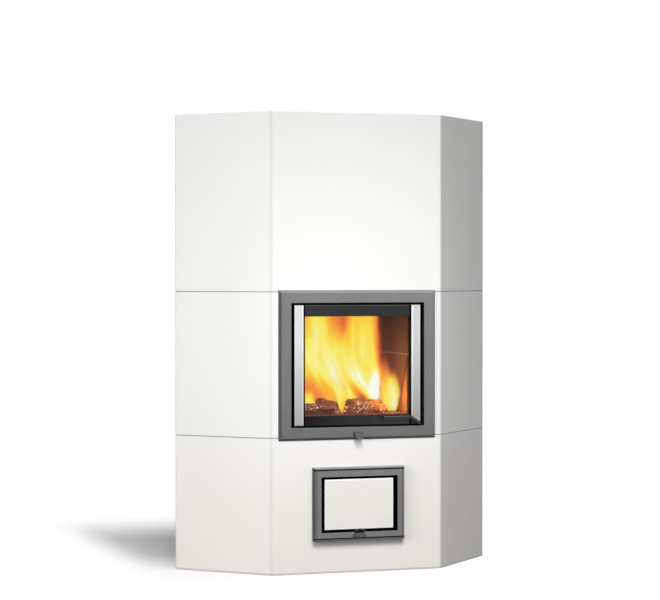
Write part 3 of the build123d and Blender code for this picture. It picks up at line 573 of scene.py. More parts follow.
# ---- metals, rope and glass
def brushed_strip():
    """Bright strip brushed from top to bottom, with painted highlights on its edges and ends, and a
    painted reflection that fades towards its lower end and is dimmer on the right strip.
    """
    material, shader, where = new_finish("brushed strip")
    lines = cloud(stretch(where, (1, 1, 0.004)), 2600, 3, 0.6)
    height, across = axis(where, "Z"), off_middle(where)
    # Painted reflection: brighter high up, dimmer low down
    levels = [(0.6, 0.42), (0.675, 0.51), (0.78, 0.63), (0.945, 0.82), (1.07, 0.84)]
    tone = by_height(where, levels)
    ends = either(
        up_to(height, STRIP_LOW + 0.0015, STRIP_LOW + 0.002),
        rescale(height, STRIP_HIGH - 0.002, STRIP_HIGH - 0.0015))
    right_face = between(axis(where, "X"), STRIP_INNER + 0.008, STRIP_OUTER)
    inner_edge = between(across, STRIP_INNER + 0.002, STRIP_INNER + 0.007)
    outer_edge = between(across, STRIP_OUTER - 0.0075, STRIP_OUTER - 0.0035)
    # Painted reflection dimmer on the right strip, painted highlights on the edges and ends
    for mask, factor in ((right_face, 0.86), (inner_edge, 1.28), (outer_edge, 1.15), (ends, 1.25)):
        tone = tinted(mask, tone, factor)
    shine = rescale(lines, 0.3, 0.7, 0.3, 0.42)
    surface(shader, mix(0.12, tone, lines, "OVERLAY"), shine, metallic=1)
    relief(shader, lines, 0.0001, 0.3)
    return material


def bare_steel(name, dark, pale, roughness):
    """Plain steel sheet or bar with a faint cloudy oxide."""
    material, shader, where = new_finish(name)
    fine = cloud(where, 300, 3)
    tone = two_tone(cloud(where, 26, 5, 0.6), dark, pale)
    shine = rescale(fine, 0.3, 0.7, roughness - 0.08, roughness + 0.08)
    surface(shader, mix(0.15, tone, fine, "OVERLAY"), shine, metallic=0.9)
    relief(shader, fine, 0.0001, 0.2)
    return material


def cast_iron():
    """Sand-cast iron: dark, pebbled, dusted with ash."""
    material, shader, where = new_finish("cast iron")
    sand = cloud(where, 260, 4, 0.7)
    ash = rescale(cloud(where, 30, 5), 0.5, 0.75, 0, 0.6)
    iron = two_tone(sand, (0.02, 0.019, 0.018), (0.05, 0.046, 0.043))
    surface(shader, mix(ash, iron, (0.3, 0.28, 0.26)), 0.75, metallic=0.5)
    relief(shader, sand, 0.0006, 0.8)
    return material


def woven_rope():
    """Dark glass-fibre rope, knitted in slanting loops."""
    material, shader, where = new_finish("woven rope", turn=(0, math.radians(35), 0))
    loops = cells(where, 330, randomness=0.35)
    fuzz = cloud(where, 900, 3)
    tone = two_tone(loops, (0.09, 0.09, 0.088), (0.02, 0.02, 0.02), 0.1, 0.6)
    surface(shader, mix(0.3, tone, fuzz, "OVERLAY"), 0.95)
    relief(shader, loops, 0.0015, 0.9)
    return material


def fire_glass():
    """Clear pane: lets light straight through, mirrors a little, with a faint haze of soot."""
    material, tree, output = blank_finish("fire glass")
    clear = tree.nodes.new("ShaderNodeBsdfTransparent")
    gloss = tree.nodes.new("ShaderNodeBsdfGlossy")
    haze = tree.nodes.new("ShaderNodeBsdfDiffuse")
    fresnel = tree.nodes.new("ShaderNodeFresnel")
    fresnel.inputs["IOR"].default_value = 1.25
    clear.inputs["Color"].default_value = (0.985, 0.98, 0.97, 1)
    gloss.inputs["Roughness"].default_value = 0.04
    soot = cloud(place(tree), 14, 5)
    soot_tone = two_tone(soot, (0.05, 0.035, 0.025), (0.16, 0.12, 0.09), 0.35, 0.7)
    feed(haze.inputs["Color"], soot_tone)
    mirror = blend(fresnel.outputs[0], clear.outputs[0], gloss.outputs[0])
    feed(output, blend(rescale(soot, 0.5, 0.85, 0, 0.04), mirror, haze.outputs[0]))
    return material


GREY = (0.241, 0.243, 0.245), (0.269, 0.271, 0.273)
BLACK = (0.036, 0.0365, 0.0375), (0.046, 0.0465, 0.0475)
HANDLE_DARK = (0.048, 0.048, 0.049), (0.058, 0.058, 0.059)
PULL_DARK = (0.088, 0.089, 0.092), (0.105, 0.106, 0.11)
FINISHES = {
    "white_tile": white_tile("white tile"),
    "cast_panel": cast_concrete("cast panel", (0.5, 0.49, 0.47), (0.62, 0.61, 0.59)),
    "core_concrete": cast_concrete("core concrete", (0.2, 0.19, 0.178), (0.3, 0.288, 0.27)),
    "top_concrete": cast_concrete("top concrete", (0.56, 0.55, 0.53), (0.68, 0.67, 0.65), 90),
    "storage_stone": storage_stone(),
    "fire_brick": fire_brick(),
    "cast_grate": cast_iron(),
    "grey_enamel": stove_paint("surround paint", *GREY, 0.42, surround_tones),
    "black_steel": stove_paint("black stove paint", *BLACK, 0.5),
    "dark_handle": stove_paint("handle paint", *HANDLE_DARK, 0.4, handle_tones),
    "pull_paint": stove_paint("pull paint", *PULL_DARK, 0.45, pull_tones),
    "brushed_strip": brushed_strip(),
    "fire_glass": fire_glass(),
    "rope_seal": woven_rope(),
    "plated_steel": bare_steel("plated sheet", (0.3, 0.31, 0.32), (0.42, 0.43, 0.44), 0.42),
    "bright_steel": bare_steel("turned steel", (0.4, 0.4, 0.41), (0.52, 0.52, 0.53), 0.3),
}
OWN_FINISHES = {
    "door_leaf": stove_paint("leaf paint", *BLACK, 0.5, leaf_tones),
    "hatch_frame": stove_paint("hatch frame paint", *GREY, 0.42, hatch_frame_tones),
    "hatch_plate": stove_paint("hatch plate paint", *BLACK, 0.5, plate_tones),
    "air_lever": stove_paint("lever paint", *GREY, 0.42, lever_tones),
    "hatch_tile": white_tile("hatch tile", HATCH_TILE, 0.965),
}
for part in frame["record"]["subparts"]:
    node, slot = part["node"], part["material_slot"]
    skin = frame["nodes"][node].data
    skin.materials.clear()
    skin.materials.append(OWN_FINISHES.get(node, FINISHES[slot]))


# ---- modelling helpers
def start():
    """Nothing selected, object mode."""
    if bpy.context.object and bpy.context.object.mode != "OBJECT":
        bpy.ops.object.mode_set(mode="OBJECT")
    bpy.ops.object.select_all(action="DESELECT")


def take(piece):
    """Only this piece selected, and active."""
    start()
    piece.select_set(True)
    bpy.context.view_layer.objects.active = piece


def edit_all():
    """Edit mode with everything selected."""
    bpy.ops.object.mode_set(mode="EDIT")
    bpy.ops.mesh.select_all(action="SELECT")


def fix_place():
    """Apply the active piece's place, turn and size to its mesh."""
    bpy.ops.object.transform_apply(location=True, rotation=True, scale=True)


def fix_size():
    """Apply the active piece's size alone."""
    bpy.ops.object.transform_apply(location=False, rotation=False, scale=True)


def settle(piece, name, finish, body="stove"):
    """Fix the piece's place, give it its finish, and let it ride."""
    take(piece)
    fix_place()
    piece.name = name
    piece.data.name = name
    piece.data.materials.clear()
    piece.data.materials.append(finish)
    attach(piece, body)


def apply_all(piece):
    """Apply every modifier in order."""
    bpy.context.view_layer.objects.active = piece
    for modifier in list(piece.modifiers):
        bpy.ops.object.modifier_apply(modifier=modifier.name)


def roughen(piece, texture, strength, direction="NORMAL"):
    """Push the surface in and out by a texture."""
    push = piece.modifiers.new("push", "DISPLACE")
    push.texture = texture
    push.texture_coords = "GLOBAL"
    push.strength = strength
    push.mid_level = 0.5
    push.direction = direction


def lumps(name, size, depth=2):
    """Cloud texture for roughening."""
    texture = bpy.data.textures.new(name, "CLOUDS")
    texture.noise_scale = size
    texture.noise_depth = depth
    return texture


def in_firebox(across, depth, lift):
    """A place measured across, back from the tiles' face and up from the hearth."""
    return Vector((across, TILE_FACE + depth, HEARTH_TOP + lift))


# ---- firewood and embers
def log_place(where, lengthwise=1):
    """The place that each log keeps in its own mesh, stretched along the log."""
    stored = add_node("ShaderNodeAttribute", where)
    stored.attribute_name = "log_place"
    return stretch(stored.outputs["Vector"], (1, 1, lengthwise))


def burning_wood():
    """Burning wood: red-brown grain, charred blocks, embers in the cracks, pale ash specks with a
    painted highlight glow, and painted firelight as a faint glow all over.
    """
    material, shader, where = new_finish("burning wood")
    log = log_place(where)
    grain = cloud(log_place(where, 0.12), 160, 4, 0.6)
    patches = cloud(log, 22, 4)
    blocks = cells(log_place(where, 0.4), 70, "DISTANCE_TO_EDGE")
    wood = shades(grain, [
        (0.3, (0.2, 0.042, 0.02)), (0.52, (0.42, 0.12, 0.06)), (0.72, (0.68, 0.32, 0.2))])
    char = two_tone(grain, (0.07, 0.018, 0.011), (0.26, 0.075, 0.042))
    crack_black, ash_white, highlight_tint = (0.02, 0.008, 0.006), (0.95, 0.78, 0.7), (1, 0.86, 0.78)
    body = mix(rescale(patches, 0.4, 0.6), wood, char)
    body = mix(rescale(blocks, 0, 0.1, 0.85, 0), body, crack_black)
    specks = rescale(cells(log, 130), 0.2, 0.34, 0.95, 0)
    specks = both(specks, rescale(cloud(log, 30, 2), 0.5, 0.6))
    surface(shader, mix(specks, body, ash_white), 0.85)
    cracks = up_to(blocks, 0, 0.05)
    glow = both(cracks, rescale(patches, 0.45, 0.6))
    heat = two_tone(glow, (0.28, 0.05, 0.02), (1, 0.36, 0.08), 0, 1)
    # Embers glow in the cracks; the glow on the specks is a painted highlight, the glow all over is
    # painted firelight
    ember_glow, speck_highlight, painted_firelight = 0.7, 0.4, 0.11
    strength = calc("ADD", calc("MULTIPLY", glow, ember_glow), calc("MULTIPLY", specks, speck_highlight))
    strength = calc("ADD", strength, painted_firelight)
    alight(shader, mix(specks, heat, highlight_tint), strength)
    relief(shader, calc("ADD", rescale(blocks, 0, 0.12), grain), 0.003, 0.8)
    return material


def ember_finish():
    """Ash and coals: grey-white dust over red-hot lumps."""
    material, shader, where = new_finish("embers and ash")
    nuggets = cells(where, 85)
    drifts = cloud(where, 26, 4)
    ash = two_tone(cloud(where, 190, 3), (0.2, 0.15, 0.13), (0.6, 0.5, 0.44))
    coal = two_tone(nuggets, (0.06, 0.02, 0.015), (0.2, 0.07, 0.045), 0.1, 0.6)
    surface(shader, mix(rescale(drifts, 0.42, 0.56), ash, coal), 0.95)
    heat = both(rescale(drifts, 0.45, 0.62), rescale(nuggets, 0.2, 0.6))
    glow = two_tone(heat, (0.5, 0.08, 0.02), (1, 0.45, 0.12), 0, 1)
    alight(shader, glow, calc("MULTIPLY", heat, 0.9))
    relief(shader, nuggets, 0.004, 0.8)
    return material


def billet(name, near_end, far_end, radius, split=None):
    """Firewood between two ends: round or split along a plane, with blocky cracked bark."""
    squeeze, cut_depth = 0.35, 0.3
    run = far_end - near_end
    start()
    bpy.ops.mesh.primitive_cylinder_add(
        vertices=36, radius=radius, depth=run.length * squeeze, location=(0, 0, 0))
    piece = bpy.context.object
    edit_all()
    if split is not None:
        normal = (math.cos(split), math.sin(split), 0)
        edge = [-cut_depth * radius * n for n in normal]
        bpy.ops.mesh.bisect(plane_co=edge, plane_no=normal, use_fill=True, clear_inner=True)
        bpy.ops.mesh.select_all(action="SELECT")
    bpy.ops.mesh.bevel(offset=radius * 0.05, segments=2, affect="EDGES")
    bpy.ops.object.mode_set(mode="OBJECT")
    remesh = piece.modifiers.new("even", "REMESH")
    remesh.mode = "VOXEL"
    remesh.voxel_size = radius * 0.045
    blocks = bpy.data.textures.new(name + " blocks", "VORONOI")
    blocks.noise_scale = radius * 0.5
    roughen(piece, lumps(name + " swell", radius * 1.6, 1), radius * 0.3)
    roughen(piece, blocks, radius * 0.18)
    roughen(piece, lumps(name + " bark", radius * 0.12, 2), radius * 0.08)
    apply_all(piece)
    bpy.ops.object.shade_smooth()
    piece.scale.z = 1 / squeeze
    fix_size()
    stored = piece.data.attributes.new("log_place", "FLOAT_VECTOR", "POINT")
    places = [number for vertex in piece.data.vertices for number in vertex.co]
    stored.data.foreach_set("vector", places)
    piece.rotation_euler = run.to_track_quat("Z", "Y").to_euler()
    piece.location = (near_end + far_end) / 2
    return piece


WOOD = burning_wood()
EMBERS = ember_finish()

# Each log: its two ends (across, depth, lift), its radius, and the turn of the plane that split it
for name, near_end, far_end, radius, split in (
    ("log_left", (-0.089, 0.1, 0.038), (-0.05, 0.34, 0.046), 0.043, 5.0),
    ("log_right", (0.0, 0.11, 0.028), (0.165, 0.2, 0.018), 0.03, None),
    ("log_front_left", (-0.205, 0.075, 0.02), (-0.075, 0.062, 0.018), 0.024, 1.2),
    ("log_front_right", (-0.02, 0.06, 0.014), (0.15, 0.085, 0.02), 0.02, 4.0),
    ("log_back", (-0.19, 0.3, 0.05), (0.18, 0.29, 0.055), 0.045, 4.2),
    ("log_rear_left", (-0.19, 0.16, 0.03), (-0.15, 0.36, 0.03), 0.034, 2.2),
):
    wood = billet(name, in_firebox(*near_end), in_firebox(*far_end), radius, split)
    settle(wood, name, WOOD)

BED_SIDE_GAP, BED_END_GAP = 0.012, 0.022
BED_HALF_X = (FIREBOX_RIGHT - FIREBOX_LEFT) / 2 - BED_SIDE_GAP
BED_HALF_Y = (FIREBOX_BACK - LINING_FRONT) / 2 - BED_END_GAP
BED_MIDDLE_X = (FIREBOX_LEFT + FIREBOX_RIGHT) / 2
BED_MIDDLE_Y = (LINING_FRONT + FIREBOX_BACK) / 2 + 0.008
BED_FOOT = HEARTH_TOP + 0.004
BED_RISE = 0.018


def bed_of_embers():
    """Low mound of ash on the hearth, cut flat underneath."""
    start()
    bpy.ops.mesh.primitive_uv_sphere_add(segments=96, ring_count=64, radius=1, location=(0, 0, 0))
    bed = bpy.context.object
    bed.scale = (BED_HALF_X, BED_HALF_Y, BED_RISE)
    bed.location = (BED_MIDDLE_X, BED_MIDDLE_Y, BED_FOOT)
    fix_place()
    roughen(bed, lumps("ash drifts", 0.02, 2), 0.009, "Z")
    apply_all(bed)
    edit_all()
    bpy.ops.mesh.bisect(
        plane_co=(0, 0, HEARTH_TOP + 0.0006), plane_no=(0, 0, 1), use_fill=True, clear_inner=True)
    return bed


def lump_of_coal():
    """One broken coal, the pattern for all of them."""
    cut_out = 0.006
    start()
    bpy.ops.mesh.primitive_ico_sphere_add(subdivisions=3, radius=0.011, location=(0, 0, 0))
    coal = bpy.context.object
    bpy.ops.object.mode_set(mode="EDIT")
    for normal in ((1, 0.2, 0.1), (-0.6, 0.8, 0.2), (0.1, -1, 0.3), (-0.3, 0, 1)):
        bpy.ops.mesh.select_all(action="SELECT")
        bpy.ops.mesh.bisect(
            plane_co=[n * cut_out for n in normal], plane_no=normal,
            use_fill=True, clear_outer=True)
    bpy.ops.object.mode_set(mode="OBJECT")
    roughen(coal, lumps("coal chips", 0.006, 1), 0.003)
    apply_all(coal)
    return coal


def scattered_coals(count):
    """Copies of the coal strewn over the bed, turned and sized by dice, joined into one piece."""
    reach = 0.86
    dice = random.Random(5)
    coal = lump_of_coal()
    copies = []
    for _ in range(count):
        take(coal)
        bpy.ops.object.duplicate(linked=False)
        copy = bpy.context.object
        away = math.sqrt(dice.random()) * reach
        angle = dice.uniform(0, math.tau)
        copy.location = (
            BED_HALF_X * away * math.cos(angle),
            BED_MIDDLE_Y + BED_HALF_Y * away * math.sin(angle),
            BED_FOOT + BED_RISE * math.sqrt(1 - away * away),
        )
        copy.rotation_euler = [dice.uniform(0, 6) for _ in "xyz"]
        size = dice.uniform(0.6, 1.35)
        copy.scale = (size * dice.uniform(0.9, 1.5), size, size * 0.8)
        copies.append(copy)
    take(copies[0])
    for copy in copies[1:]:
        copy.select_set(True)
    bpy.ops.object.join()
    bpy.data.objects.remove(coal)
    return bpy.context.object


settle(bed_of_embers(), "ember_bed", EMBERS)
settle(scattered_coals(44), "coals", EMBERS)


# ---- ash in the pan, rope in the door's groove
def ash_finish():
    """Cold ash: soft grey with pale flakes and charcoal crumbs."""
    material, shader, where = new_finish("cold ash")
    drift = cloud(where, 30, 5, 0.65)
    crumbs = rescale(cells(where, 140), 0.1, 0.22, 0.9, 0)
    crumbs = both(crumbs, rescale(cloud(where, 24, 2), 0.5, 0.6))
    grey = two_tone(drift, (0.24, 0.225, 0.21), (0.5, 0.48, 0.455))
    surface(shader, mix(crumbs, grey, (0.02, 0.018, 0.017)), 0.97)
    relief(shader, drift, 0.003, 0.8)
    return material


def ash_heap(low, high):
    """Loose ash that fills the bottom of the pan, flat underneath."""
    side_gap, end_gap, depth, foot = 0.012, 0.03, 0.018, 0.004
    start()
    bpy.ops.mesh.primitive_grid_add(
        x_subdivisions=70, y_subdivisions=80, size=1, location=(0, 0, 0))
    heap = bpy.context.object
    heap.scale = (high.x - low.x - side_gap, high.y - low.y - end_gap, 1)
    heap.location = ((low.x + high.x) / 2, (low.y + high.y) / 2 + 0.004, low.z + depth)
    fix_place()
    roughen(heap, lumps("ash heaps", 0.09, 2), 0.022, "Z")
    roughen(heap, lumps("ash crumbs", 0.009, 2), 0.004, "Z")
    apply_all(heap)
    edit_all()
    bpy.ops.mesh.extrude_region_move(TRANSFORM_OT_translate={"value": (0, 0, -0.01)})
    bpy.ops.transform.resize(value=(1, 1, 0), center_override=(0, 0, low.z + foot))
    bpy.ops.mesh.select_all(action="SELECT")
    bpy.ops.mesh.normals_make_consistent(inside=False)
    return heap


def rope_track(low, high, radius, corner):
    """Upright rounded rectangle, as a curve along the middle of the rope."""
    start()
    bpy.ops.mesh.primitive_plane_add(size=1, rotation=(math.pi / 2, 0, 0), location=(0, 0, 0))
    track = bpy.context.object
    track.scale = (high.x - low.x - 2 * radius, high.z - low.z - 2 * radius, 1)
    track.location = (low + high) / 2
    fix_place()
    edit_all()
    bpy.ops.mesh.bevel(offset=corner, segments=10, affect="VERTICES")
    bpy.ops.mesh.delete(type="ONLY_FACE")
    bpy.ops.object.mode_set(mode="OBJECT")
    bpy.ops.object.convert(target="CURVE")
    return track


def twisted_rope(low, high, corner, turn_length):
    """Rope of twisted strands, laid round an upright rounded rectangle."""
    strands, steps_a_turn, strand_share = 3, 12, 0.56
    radius = (high.y - low.y) / 2
    track = rope_track(low, high, radius, corner)
    length = track.data.splines[0].calc_length()
    turns = round(length / turn_length)
    steps = turns * steps_a_turn
    start()
    bpy.ops.mesh.primitive_cylinder_add(
        vertices=10, radius=radius * strand_share, depth=length / steps, end_fill_type="NOTHING",
        location=(radius * (1 - strand_share), 0, length / steps / 2),
    )
    rope = bpy.context.object
    fix_place()
    edit_all()
    for _ in range(strands - 1):
        bpy.ops.mesh.duplicate_move()
        bpy.ops.transform.rotate(
            value=math.tau / strands, orient_axis="Z", center_override=(0, 0, 0))
    bpy.ops.object.mode_set(mode="OBJECT")
    row = rope.modifiers.new("row", "ARRAY")
    row.count = steps
    row.relative_offset_displace = (0, 0, 1)
    row.use_merge_vertices = True
    row.merge_threshold = 0.0001
    twist = rope.modifiers.new("twist", "SIMPLE_DEFORM")
    twist.deform_method = "TWIST"
    twist.deform_axis = "Z"
    twist.angle = math.tau * turns
    follow = rope.modifiers.new("follow", "CURVE")
    follow.object = track
    follow.deform_axis = "POS_Z"
    apply_all(rope)
    bpy.data.objects.remove(track)
    edit_all()
    bpy.ops.mesh.remove_doubles(threshold=0.0006)
    bpy.ops.mesh.normals_make_consistent(inside=False)
    bpy.ops.object.mode_set(mode="OBJECT")
    bpy.ops.object.shade_smooth()
    return rope


settle(ash_heap(*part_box("ash_pan")), "pan_ash", ash_finish())

rope = twisted_rope(*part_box("door_seal"), corner=0.01, turn_length=0.026)
settle(rope, "rope_seal", FINISHES["rope_seal"], "fire_door")
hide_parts("door_seal")


# ---- flames
FLAME_COLOURS = [
    (0.0, (0.28, 0.04, 0.015)), (0.18, (0.68, 0.12, 0.03)), (0.34, (0.95, 0.26, 0.04)),
    (0.48, (0.98, 0.48, 0.04)), (0.62, (0.98, 0.74, 0.06)), (0.76, (0.97, 0.87, 0.17)),
    (0.9, (0.96, 0.91, 0.36)), (1.0, (1, 0.99, 0.88)),
]
TO_VIEWER = Vector((-0.31, -0.95, 0))


def drawn_up(where, draw, level):
    """X and Z, with X carried aside below a level: flames lean there and rise straight above."""
    below = calc("SUBTRACT", level, axis(where, "Z"), clamp=True)
    shift = calc("MULTIPLY", calc("MULTIPLY", below, below), draw)
    flow = add_node("ShaderNodeCombineXYZ", where)
    feed(flow.inputs["X"], calc("SUBTRACT", axis(where, "X"), shift))
    feed(flow.inputs["Z"], axis(where, "Z"))
    return flow.outputs[0]


def warmed(heat, where, spot):
    """Heat raised or lowered round a spot: (x, z, reach along x, reach along z, amount)."""
    x, z, reach_x, reach_z, amount = spot
    away = stretch(where, (1 / reach_x, 0, 1 / reach_z), (-x / reach_x, 0, -z / reach_z))
    distance = add_node("ShaderNodeVectorMath", away)
    distance.operation = "LENGTH"
    feed(distance.inputs[0], away)
    return calc("ADD", heat, rescale(distance.outputs["Value"], 0, 1, amount, 0))


def flame_finish(name, warmth, spots, softness, draw=0.0, level=0.9, edge=None, core=None):
    """Flame colours by heat: a base warmth, streaks and soft spots, a cooler edge, a hot core."""
    material, shader, where = new_finish(name)
    flow = drawn_up(where, draw, level)
    streaks = cloud(stretch(flow, (1, 1, 0.13)), 34, 3, 0.55)
    waver = cloud(stretch(flow, (1, 1, 0.4)), 11, 2)
    heat = calc("ADD", rescale(streaks, 0.25, 0.75, -0.07, 0.07), warmth)
    heat = calc("ADD", heat, rescale(waver, 0.3, 0.7, -0.08, 0.08))
    for spot in spots:
        heat = warmed(heat, flow, spot)
    if edge is not None:
        cooler = rescale(axis(where, "X"), edge - 0.05, edge, 0, -0.5)
        high_up = rescale(axis(where, "Z"), 0.74, 0.86)
        heat = calc("ADD", heat, calc("MULTIPLY", cooler, high_up))
    if core is not None:
        heat = warmed(heat, where, core)
    heart = add_node("ShaderNodeAttribute", where)
    heart.attribute_name = "heart"
    heat = calc("ADD", heat, rescale(heart.outputs["Fac"], 0.05, 0.85, -0.4, 0))
    surface(shader, (0, 0, 0, 1), 1)
    shader.inputs["Specular IOR Level"].default_value = 0
    alight(shader, shades(heat, FLAME_COLOURS), 1)
    ragged = calc("ADD", heart.outputs["Fac"], rescale(streaks, 0.3, 0.7, -0.18, 0.18))
    feed(shader.inputs["Alpha"], rescale(ragged, 0.12, softness))
    return material


def store_heart(piece, tip, fade_from):
    """Keep in the mesh how solid the flame is: full in its middle, less to its rim and tip."""
    hearts = []
    for vertex in piece.data.vertices:
        spent = min(1, max(0, (vertex.co.z / tip - fade_from) / max(1 - fade_from, 0.001)))
        towards = min(1, abs(vertex.normal.dot(TO_VIEWER)))
        hearts.append(towards * (1 - spent * spent * (3 - 2 * spent)))
    heart = piece.data.attributes.new("heart", "FLOAT", "POINT")
    heart.data.foreach_set("value", hearts)


def tongue(name, foot, rings, thickness, fade_from):
    """One flame, drawn up from its foot ring by ring: (height, lean, half width)."""
    sway = 0.02
    start()
    bpy.ops.mesh.primitive_circle_add(
        vertices=32, radius=rings[0][2], fill_type="NGON", location=(0, 0, 0))
    piece = bpy.context.object
    edit_all()
    for (low, low_lean, low_width), (high, high_lean, high_width) in zip(rings, rings[1:]):
        step = (high_lean - low_lean, 0, high - low)
        bpy.ops.mesh.extrude_region_move(TRANSFORM_OT_translate={"value": step})
        ratio = high_width / low_width
        bpy.ops.transform.resize(value=(ratio, ratio, 1), center_override=(high_lean, 0, high))
    bpy.ops.mesh.select_all(action="SELECT")
    bpy.ops.mesh.normals_make_consistent(inside=False)
    bpy.ops.object.mode_set(mode="OBJECT")
    round_off = piece.modifiers.new("round off", "SUBSURF")
    round_off.levels = 2
    round_off.render_levels = 2
    apply_all(piece)
    store_heart(piece, rings[-1][0], fade_from)
    piece.scale.y = thickness
    fix_size()
    roughen(piece, lumps(name + " sway", 0.09, 1), sway, "X")
    apply_all(piece)
    bpy.ops.object.shade_smooth()
    piece.location = foot
    return piece


MAIN_FLAME = flame_finish("main flame", 0.64, [
    (-0.074, 0.78, 0.05, 0.17, 0.26), (0.02, 0.79, 0.045, 0.13, 0.24),
    (-0.021, 0.71, 0.035, 0.08, -0.35), (0.055, 0.73, 0.055, 0.13, 0.25),
    (-0.1, 0.88, 0.14, 0.18, 0.14), (0.1, 0.88, 0.09, 0.25, 0.16),
    (-0.03, 1.07, 0.085, 0.19, -0.45), (0.0, 1.0, 0.03, 0.11, -0.16),
    (-0.17, 1.04, 0.05, 0.2, -0.13), (-0.22, 0.7, 0.15, 0.18, -0.3),
    (-0.06, 0.66, 0.13, 0.07, -0.35),
], 0.6, draw=2.4, edge=0.19, core=(0.152, 0.728, 0.062, 0.125, 1.0))
SIDE_FLAME = flame_finish("side flame", 0.6, [
    (0.18, 0.7, 0.055, 0.17, 0.33), (0.18, 0.86, 0.09, 0.12, -0.4)], 1.25)
EDGE_FLAME = flame_finish("edge flame", 0.4, [(0.2, 0.66, 0.07, 0.2, 0.14)], 1.15)
LOW_FLAME = flame_finish("low flame", 0.6, [
    (-0.185, 0.7, 0.04, 0.07, 0.08), (-0.06, 0.74, 0.05, 0.1, 0.22)], 1.2)

# Each flame: its foot (across, depth, lift), its rings, its thickness, where it starts to fade
for name, foot, rings, thickness, fade_from, finish in (
    ("flame_main", (-0.006, 0.21, 0.012), (
        (0, 0, 0.16), (0.03, 0.004, 0.194), (0.1, 0.004, 0.202), (0.2, 0, 0.192), (0.3, 0, 0.19),
        (0.385, 0, 0.187), (0.392, 0, 0.18)), 0.28, 1, MAIN_FLAME),
    ("flame_side", (0.18, 0.085, 0), (
        (0, 0.002, 0.024), (0.03, 0, 0.038), (0.08, -0.005, 0.049), (0.12, -0.008, 0.047),
        (0.165, -0.012, 0.037), (0.21, -0.02, 0.024), (0.26, -0.026, 0.008)),
        0.42, 0.25, SIDE_FLAME),
    ("flame_edge", (0.19, 0.2, 0), (
        (0, 0, 0.022), (0.05, 0, 0.029), (0.12, 0, 0.029), (0.2, -0.007, 0.03),
        (0.26, -0.013, 0.022), (0.3, -0.016, 0.01)), 0.5, 0.3, EDGE_FLAME),
    ("flame_left", (-0.178, 0.105, 0), (
        (0, 0, 0.026), (0.03, 0, 0.038), (0.06, 0, 0.036), (0.1, 0.004, 0.026),
        (0.16, 0.01, 0.006)), 0.35, 0.25, LOW_FLAME),
    ("flame_middle", (-0.04, 0.075, 0), (
        (0, 0, 0.007), (0.03, 0, 0.014), (0.06, -0.003, 0.024), (0.1, -0.012, 0.034),
        (0.15, -0.035, 0.036), (0.2, -0.062, 0.024)), 0.5, 0.3, LOW_FLAME),
):
    flame = tongue(name, in_firebox(*foot), rings, thickness, fade_from)
    settle(flame, name, finish)


# ---- room
def pale_floor():
    """Plain white floor, shaded where the stove's shadow falls behind its left side."""
    material, tree, output = blank_finish("pale floor")
    matte = tree.nodes.new("ShaderNodeBsdfDiffuse")
    plain = tree.nodes.new("ShaderNodeEmission")
    seen = any_ray(tree, "Is Camera Ray", "Is Glossy Ray", "Is Transmission Ray")
    lit_grey, seen_grey = (0.12, 0.12, 0.12), (0.8, 0.8, 0.8)
    feed(matte.inputs["Color"], mix(seen, lit_grey, seen_grey))
    where = place(tree)
    left, right, side_soft = -0.77, 0.3, 0.12
    front, back, depth_soft = -0.14, 1.3, 0.55
    shade = 0.93
    across = between(axis(where, "X"), left, right, side_soft)
    shaded = both(across, between(axis(where, "Y"), front, back, depth_soft))
    plainness = both(seen, without(calc("MULTIPLY", shaded, shade)))
    feed(output, blend(plainness, matte.outputs[0], plain.outputs[0]))
    return material


def studio_world():
    """White behind the stove; what metal mirrors is bright above, dim at the left and below."""
    daylight_level = 0.1
    world = bpy.data.worlds.new("studio")
    world.use_nodes = True
    sky = world.node_tree
    sky.nodes.clear()
    direction = sky.nodes.new("ShaderNodeTexCoord").outputs["Generated"]
    upwards = rescale(axis(direction, "Z"), 0, 0.8, 0.7, 2.8)
    leftwards = rescale(axis(direction, "X"), -0.75, 0.15, 0.2, 1)
    behind = rescale(axis(direction, "Y"), 0.6, 0.75)
    graded = calc("MULTIPLY", upwards, leftwards)
    white = either(behind, any_ray(sky, "Is Camera Ray", "Is Transmission Ray"))
    backdrop = sky.nodes.new("ShaderNodeBackground")
    backdrop.inputs["Color"].default_value = (1, 1, 1, 1)
    whitened = calc("MULTIPLY", white, calc("SUBTRACT", 1.0, graded))
    feed(backdrop.inputs["Strength"], calc("ADD", graded, whitened))
    daylight = sky.nodes.new("ShaderNodeBackground")
    daylight.inputs["Color"].default_value = (1, 0.995, 0.985, 1)
    daylight.inputs["Strength"].default_value = daylight_level
    seen = any_ray(sky, "Is Camera Ray", "Is Glossy Ray", "Is Transmission Ray")
    output = sky.nodes.new("ShaderNodeOutputWorld")
    feed(output.inputs["Surface"], blend(seen, daylight.outputs[0], backdrop.outputs[0]))
    return world


start()
bpy.ops.mesh.primitive_plane_add(size=60, location=(0, 0, -0.0005))
floor = bpy.context.object
floor.name = "floor"
floor.data.materials.append(pale_floor())
bpy.context.scene.world = studio_world()


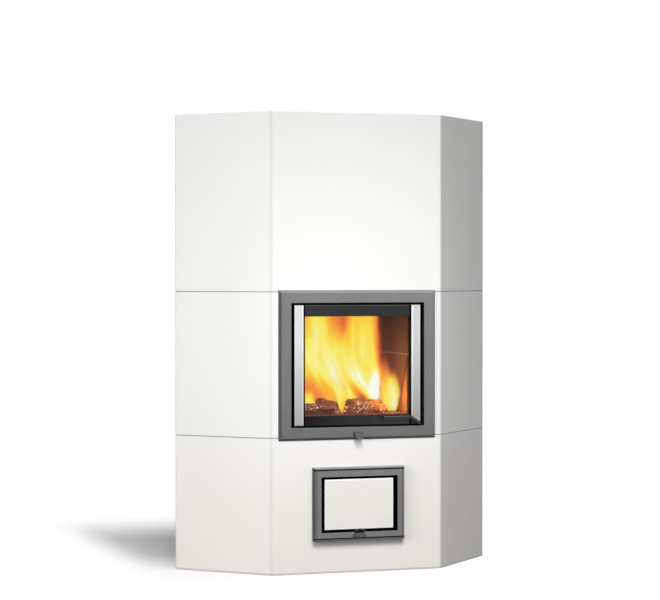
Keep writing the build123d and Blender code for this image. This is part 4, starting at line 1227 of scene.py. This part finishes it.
# ---- light and camera
def lamp(name, kind, place_at, look_at, strength, softness, tint=(1, 1, 1)):
    """Soft lamp: a SUN whose softness is its angle, or a POINT whose softness is its radius."""
    light = bpy.data.lights.new(name, kind)
    light.energy = strength
    light.color = tint
    if kind == "SUN":
        light.angle = softness
    else:
        light.shadow_soft_size = softness
    holder = bpy.data.objects.new(name, light)
    bpy.context.scene.collection.objects.link(holder)
    holder.location = place_at
    holder.rotation_euler = (Vector(look_at) - Vector(place_at)).to_track_quat("-Z", "Y").to_euler()
    holder.visible_camera = False
    holder.visible_glossy = False


# Strengths: watts for a POINT, watts a square metre for a SUN
lamp("key", "POINT", (-0.01, -1.65, 1.085), (0, 0, 1.085), 27, 0.4)
lamp("overhead", "SUN", (-0.85, -3.96, 4.44), (0, 0, 0), 1.7, math.radians(20))
lamp("side", "SUN", (-5.2, -2.9, 0.6), (0, 0, 0), 1.55, math.radians(40))
lamp("left window", "POINT", (-1.44, -1.26, 0.98), (0, 0, 0.98), 10, 0.2)

# The fire's own light on the right lining
FIRE_X, FIRE_Z = 0.155, 0.71
FIRE_TINT = (1, 0.72, 0.13)
for lamp_name, depth, strength in (("firelight front", 0.045, 1.0), ("firelight back", 0.15, 0.27)):
    fire_at = (FIRE_X, TILE_FACE + depth, FIRE_Z)
    lamp(lamp_name, "POINT", fire_at, (FIRE_X, 0, FIRE_Z), strength, 0.025, FIRE_TINT)

# Where the photographer stood, fitted to the photo's outer edges
CAMERA_X, CAMERA_AWAY, CAMERA_HEIGHT = -2.959, 8.493, 1.216
CAMERA_TILT, CAMERA_TURN = math.radians(90 - 0.718), math.radians(-18.5)
camera_data = bpy.data.cameras.new("camera")
camera_data.sensor_width = 36
camera_data.lens = 121.1
camera = bpy.data.objects.new("camera", camera_data)
bpy.context.scene.collection.objects.link(camera)
camera.location = (CAMERA_X, TILE_FACE - CAMERA_AWAY, CAMERA_HEIGHT)
camera.rotation_euler = (CAMERA_TILT, 0, CAMERA_TURN)
bpy.context.scene.camera = camera
bpy.context.scene.view_settings.view_transform = "Standard"
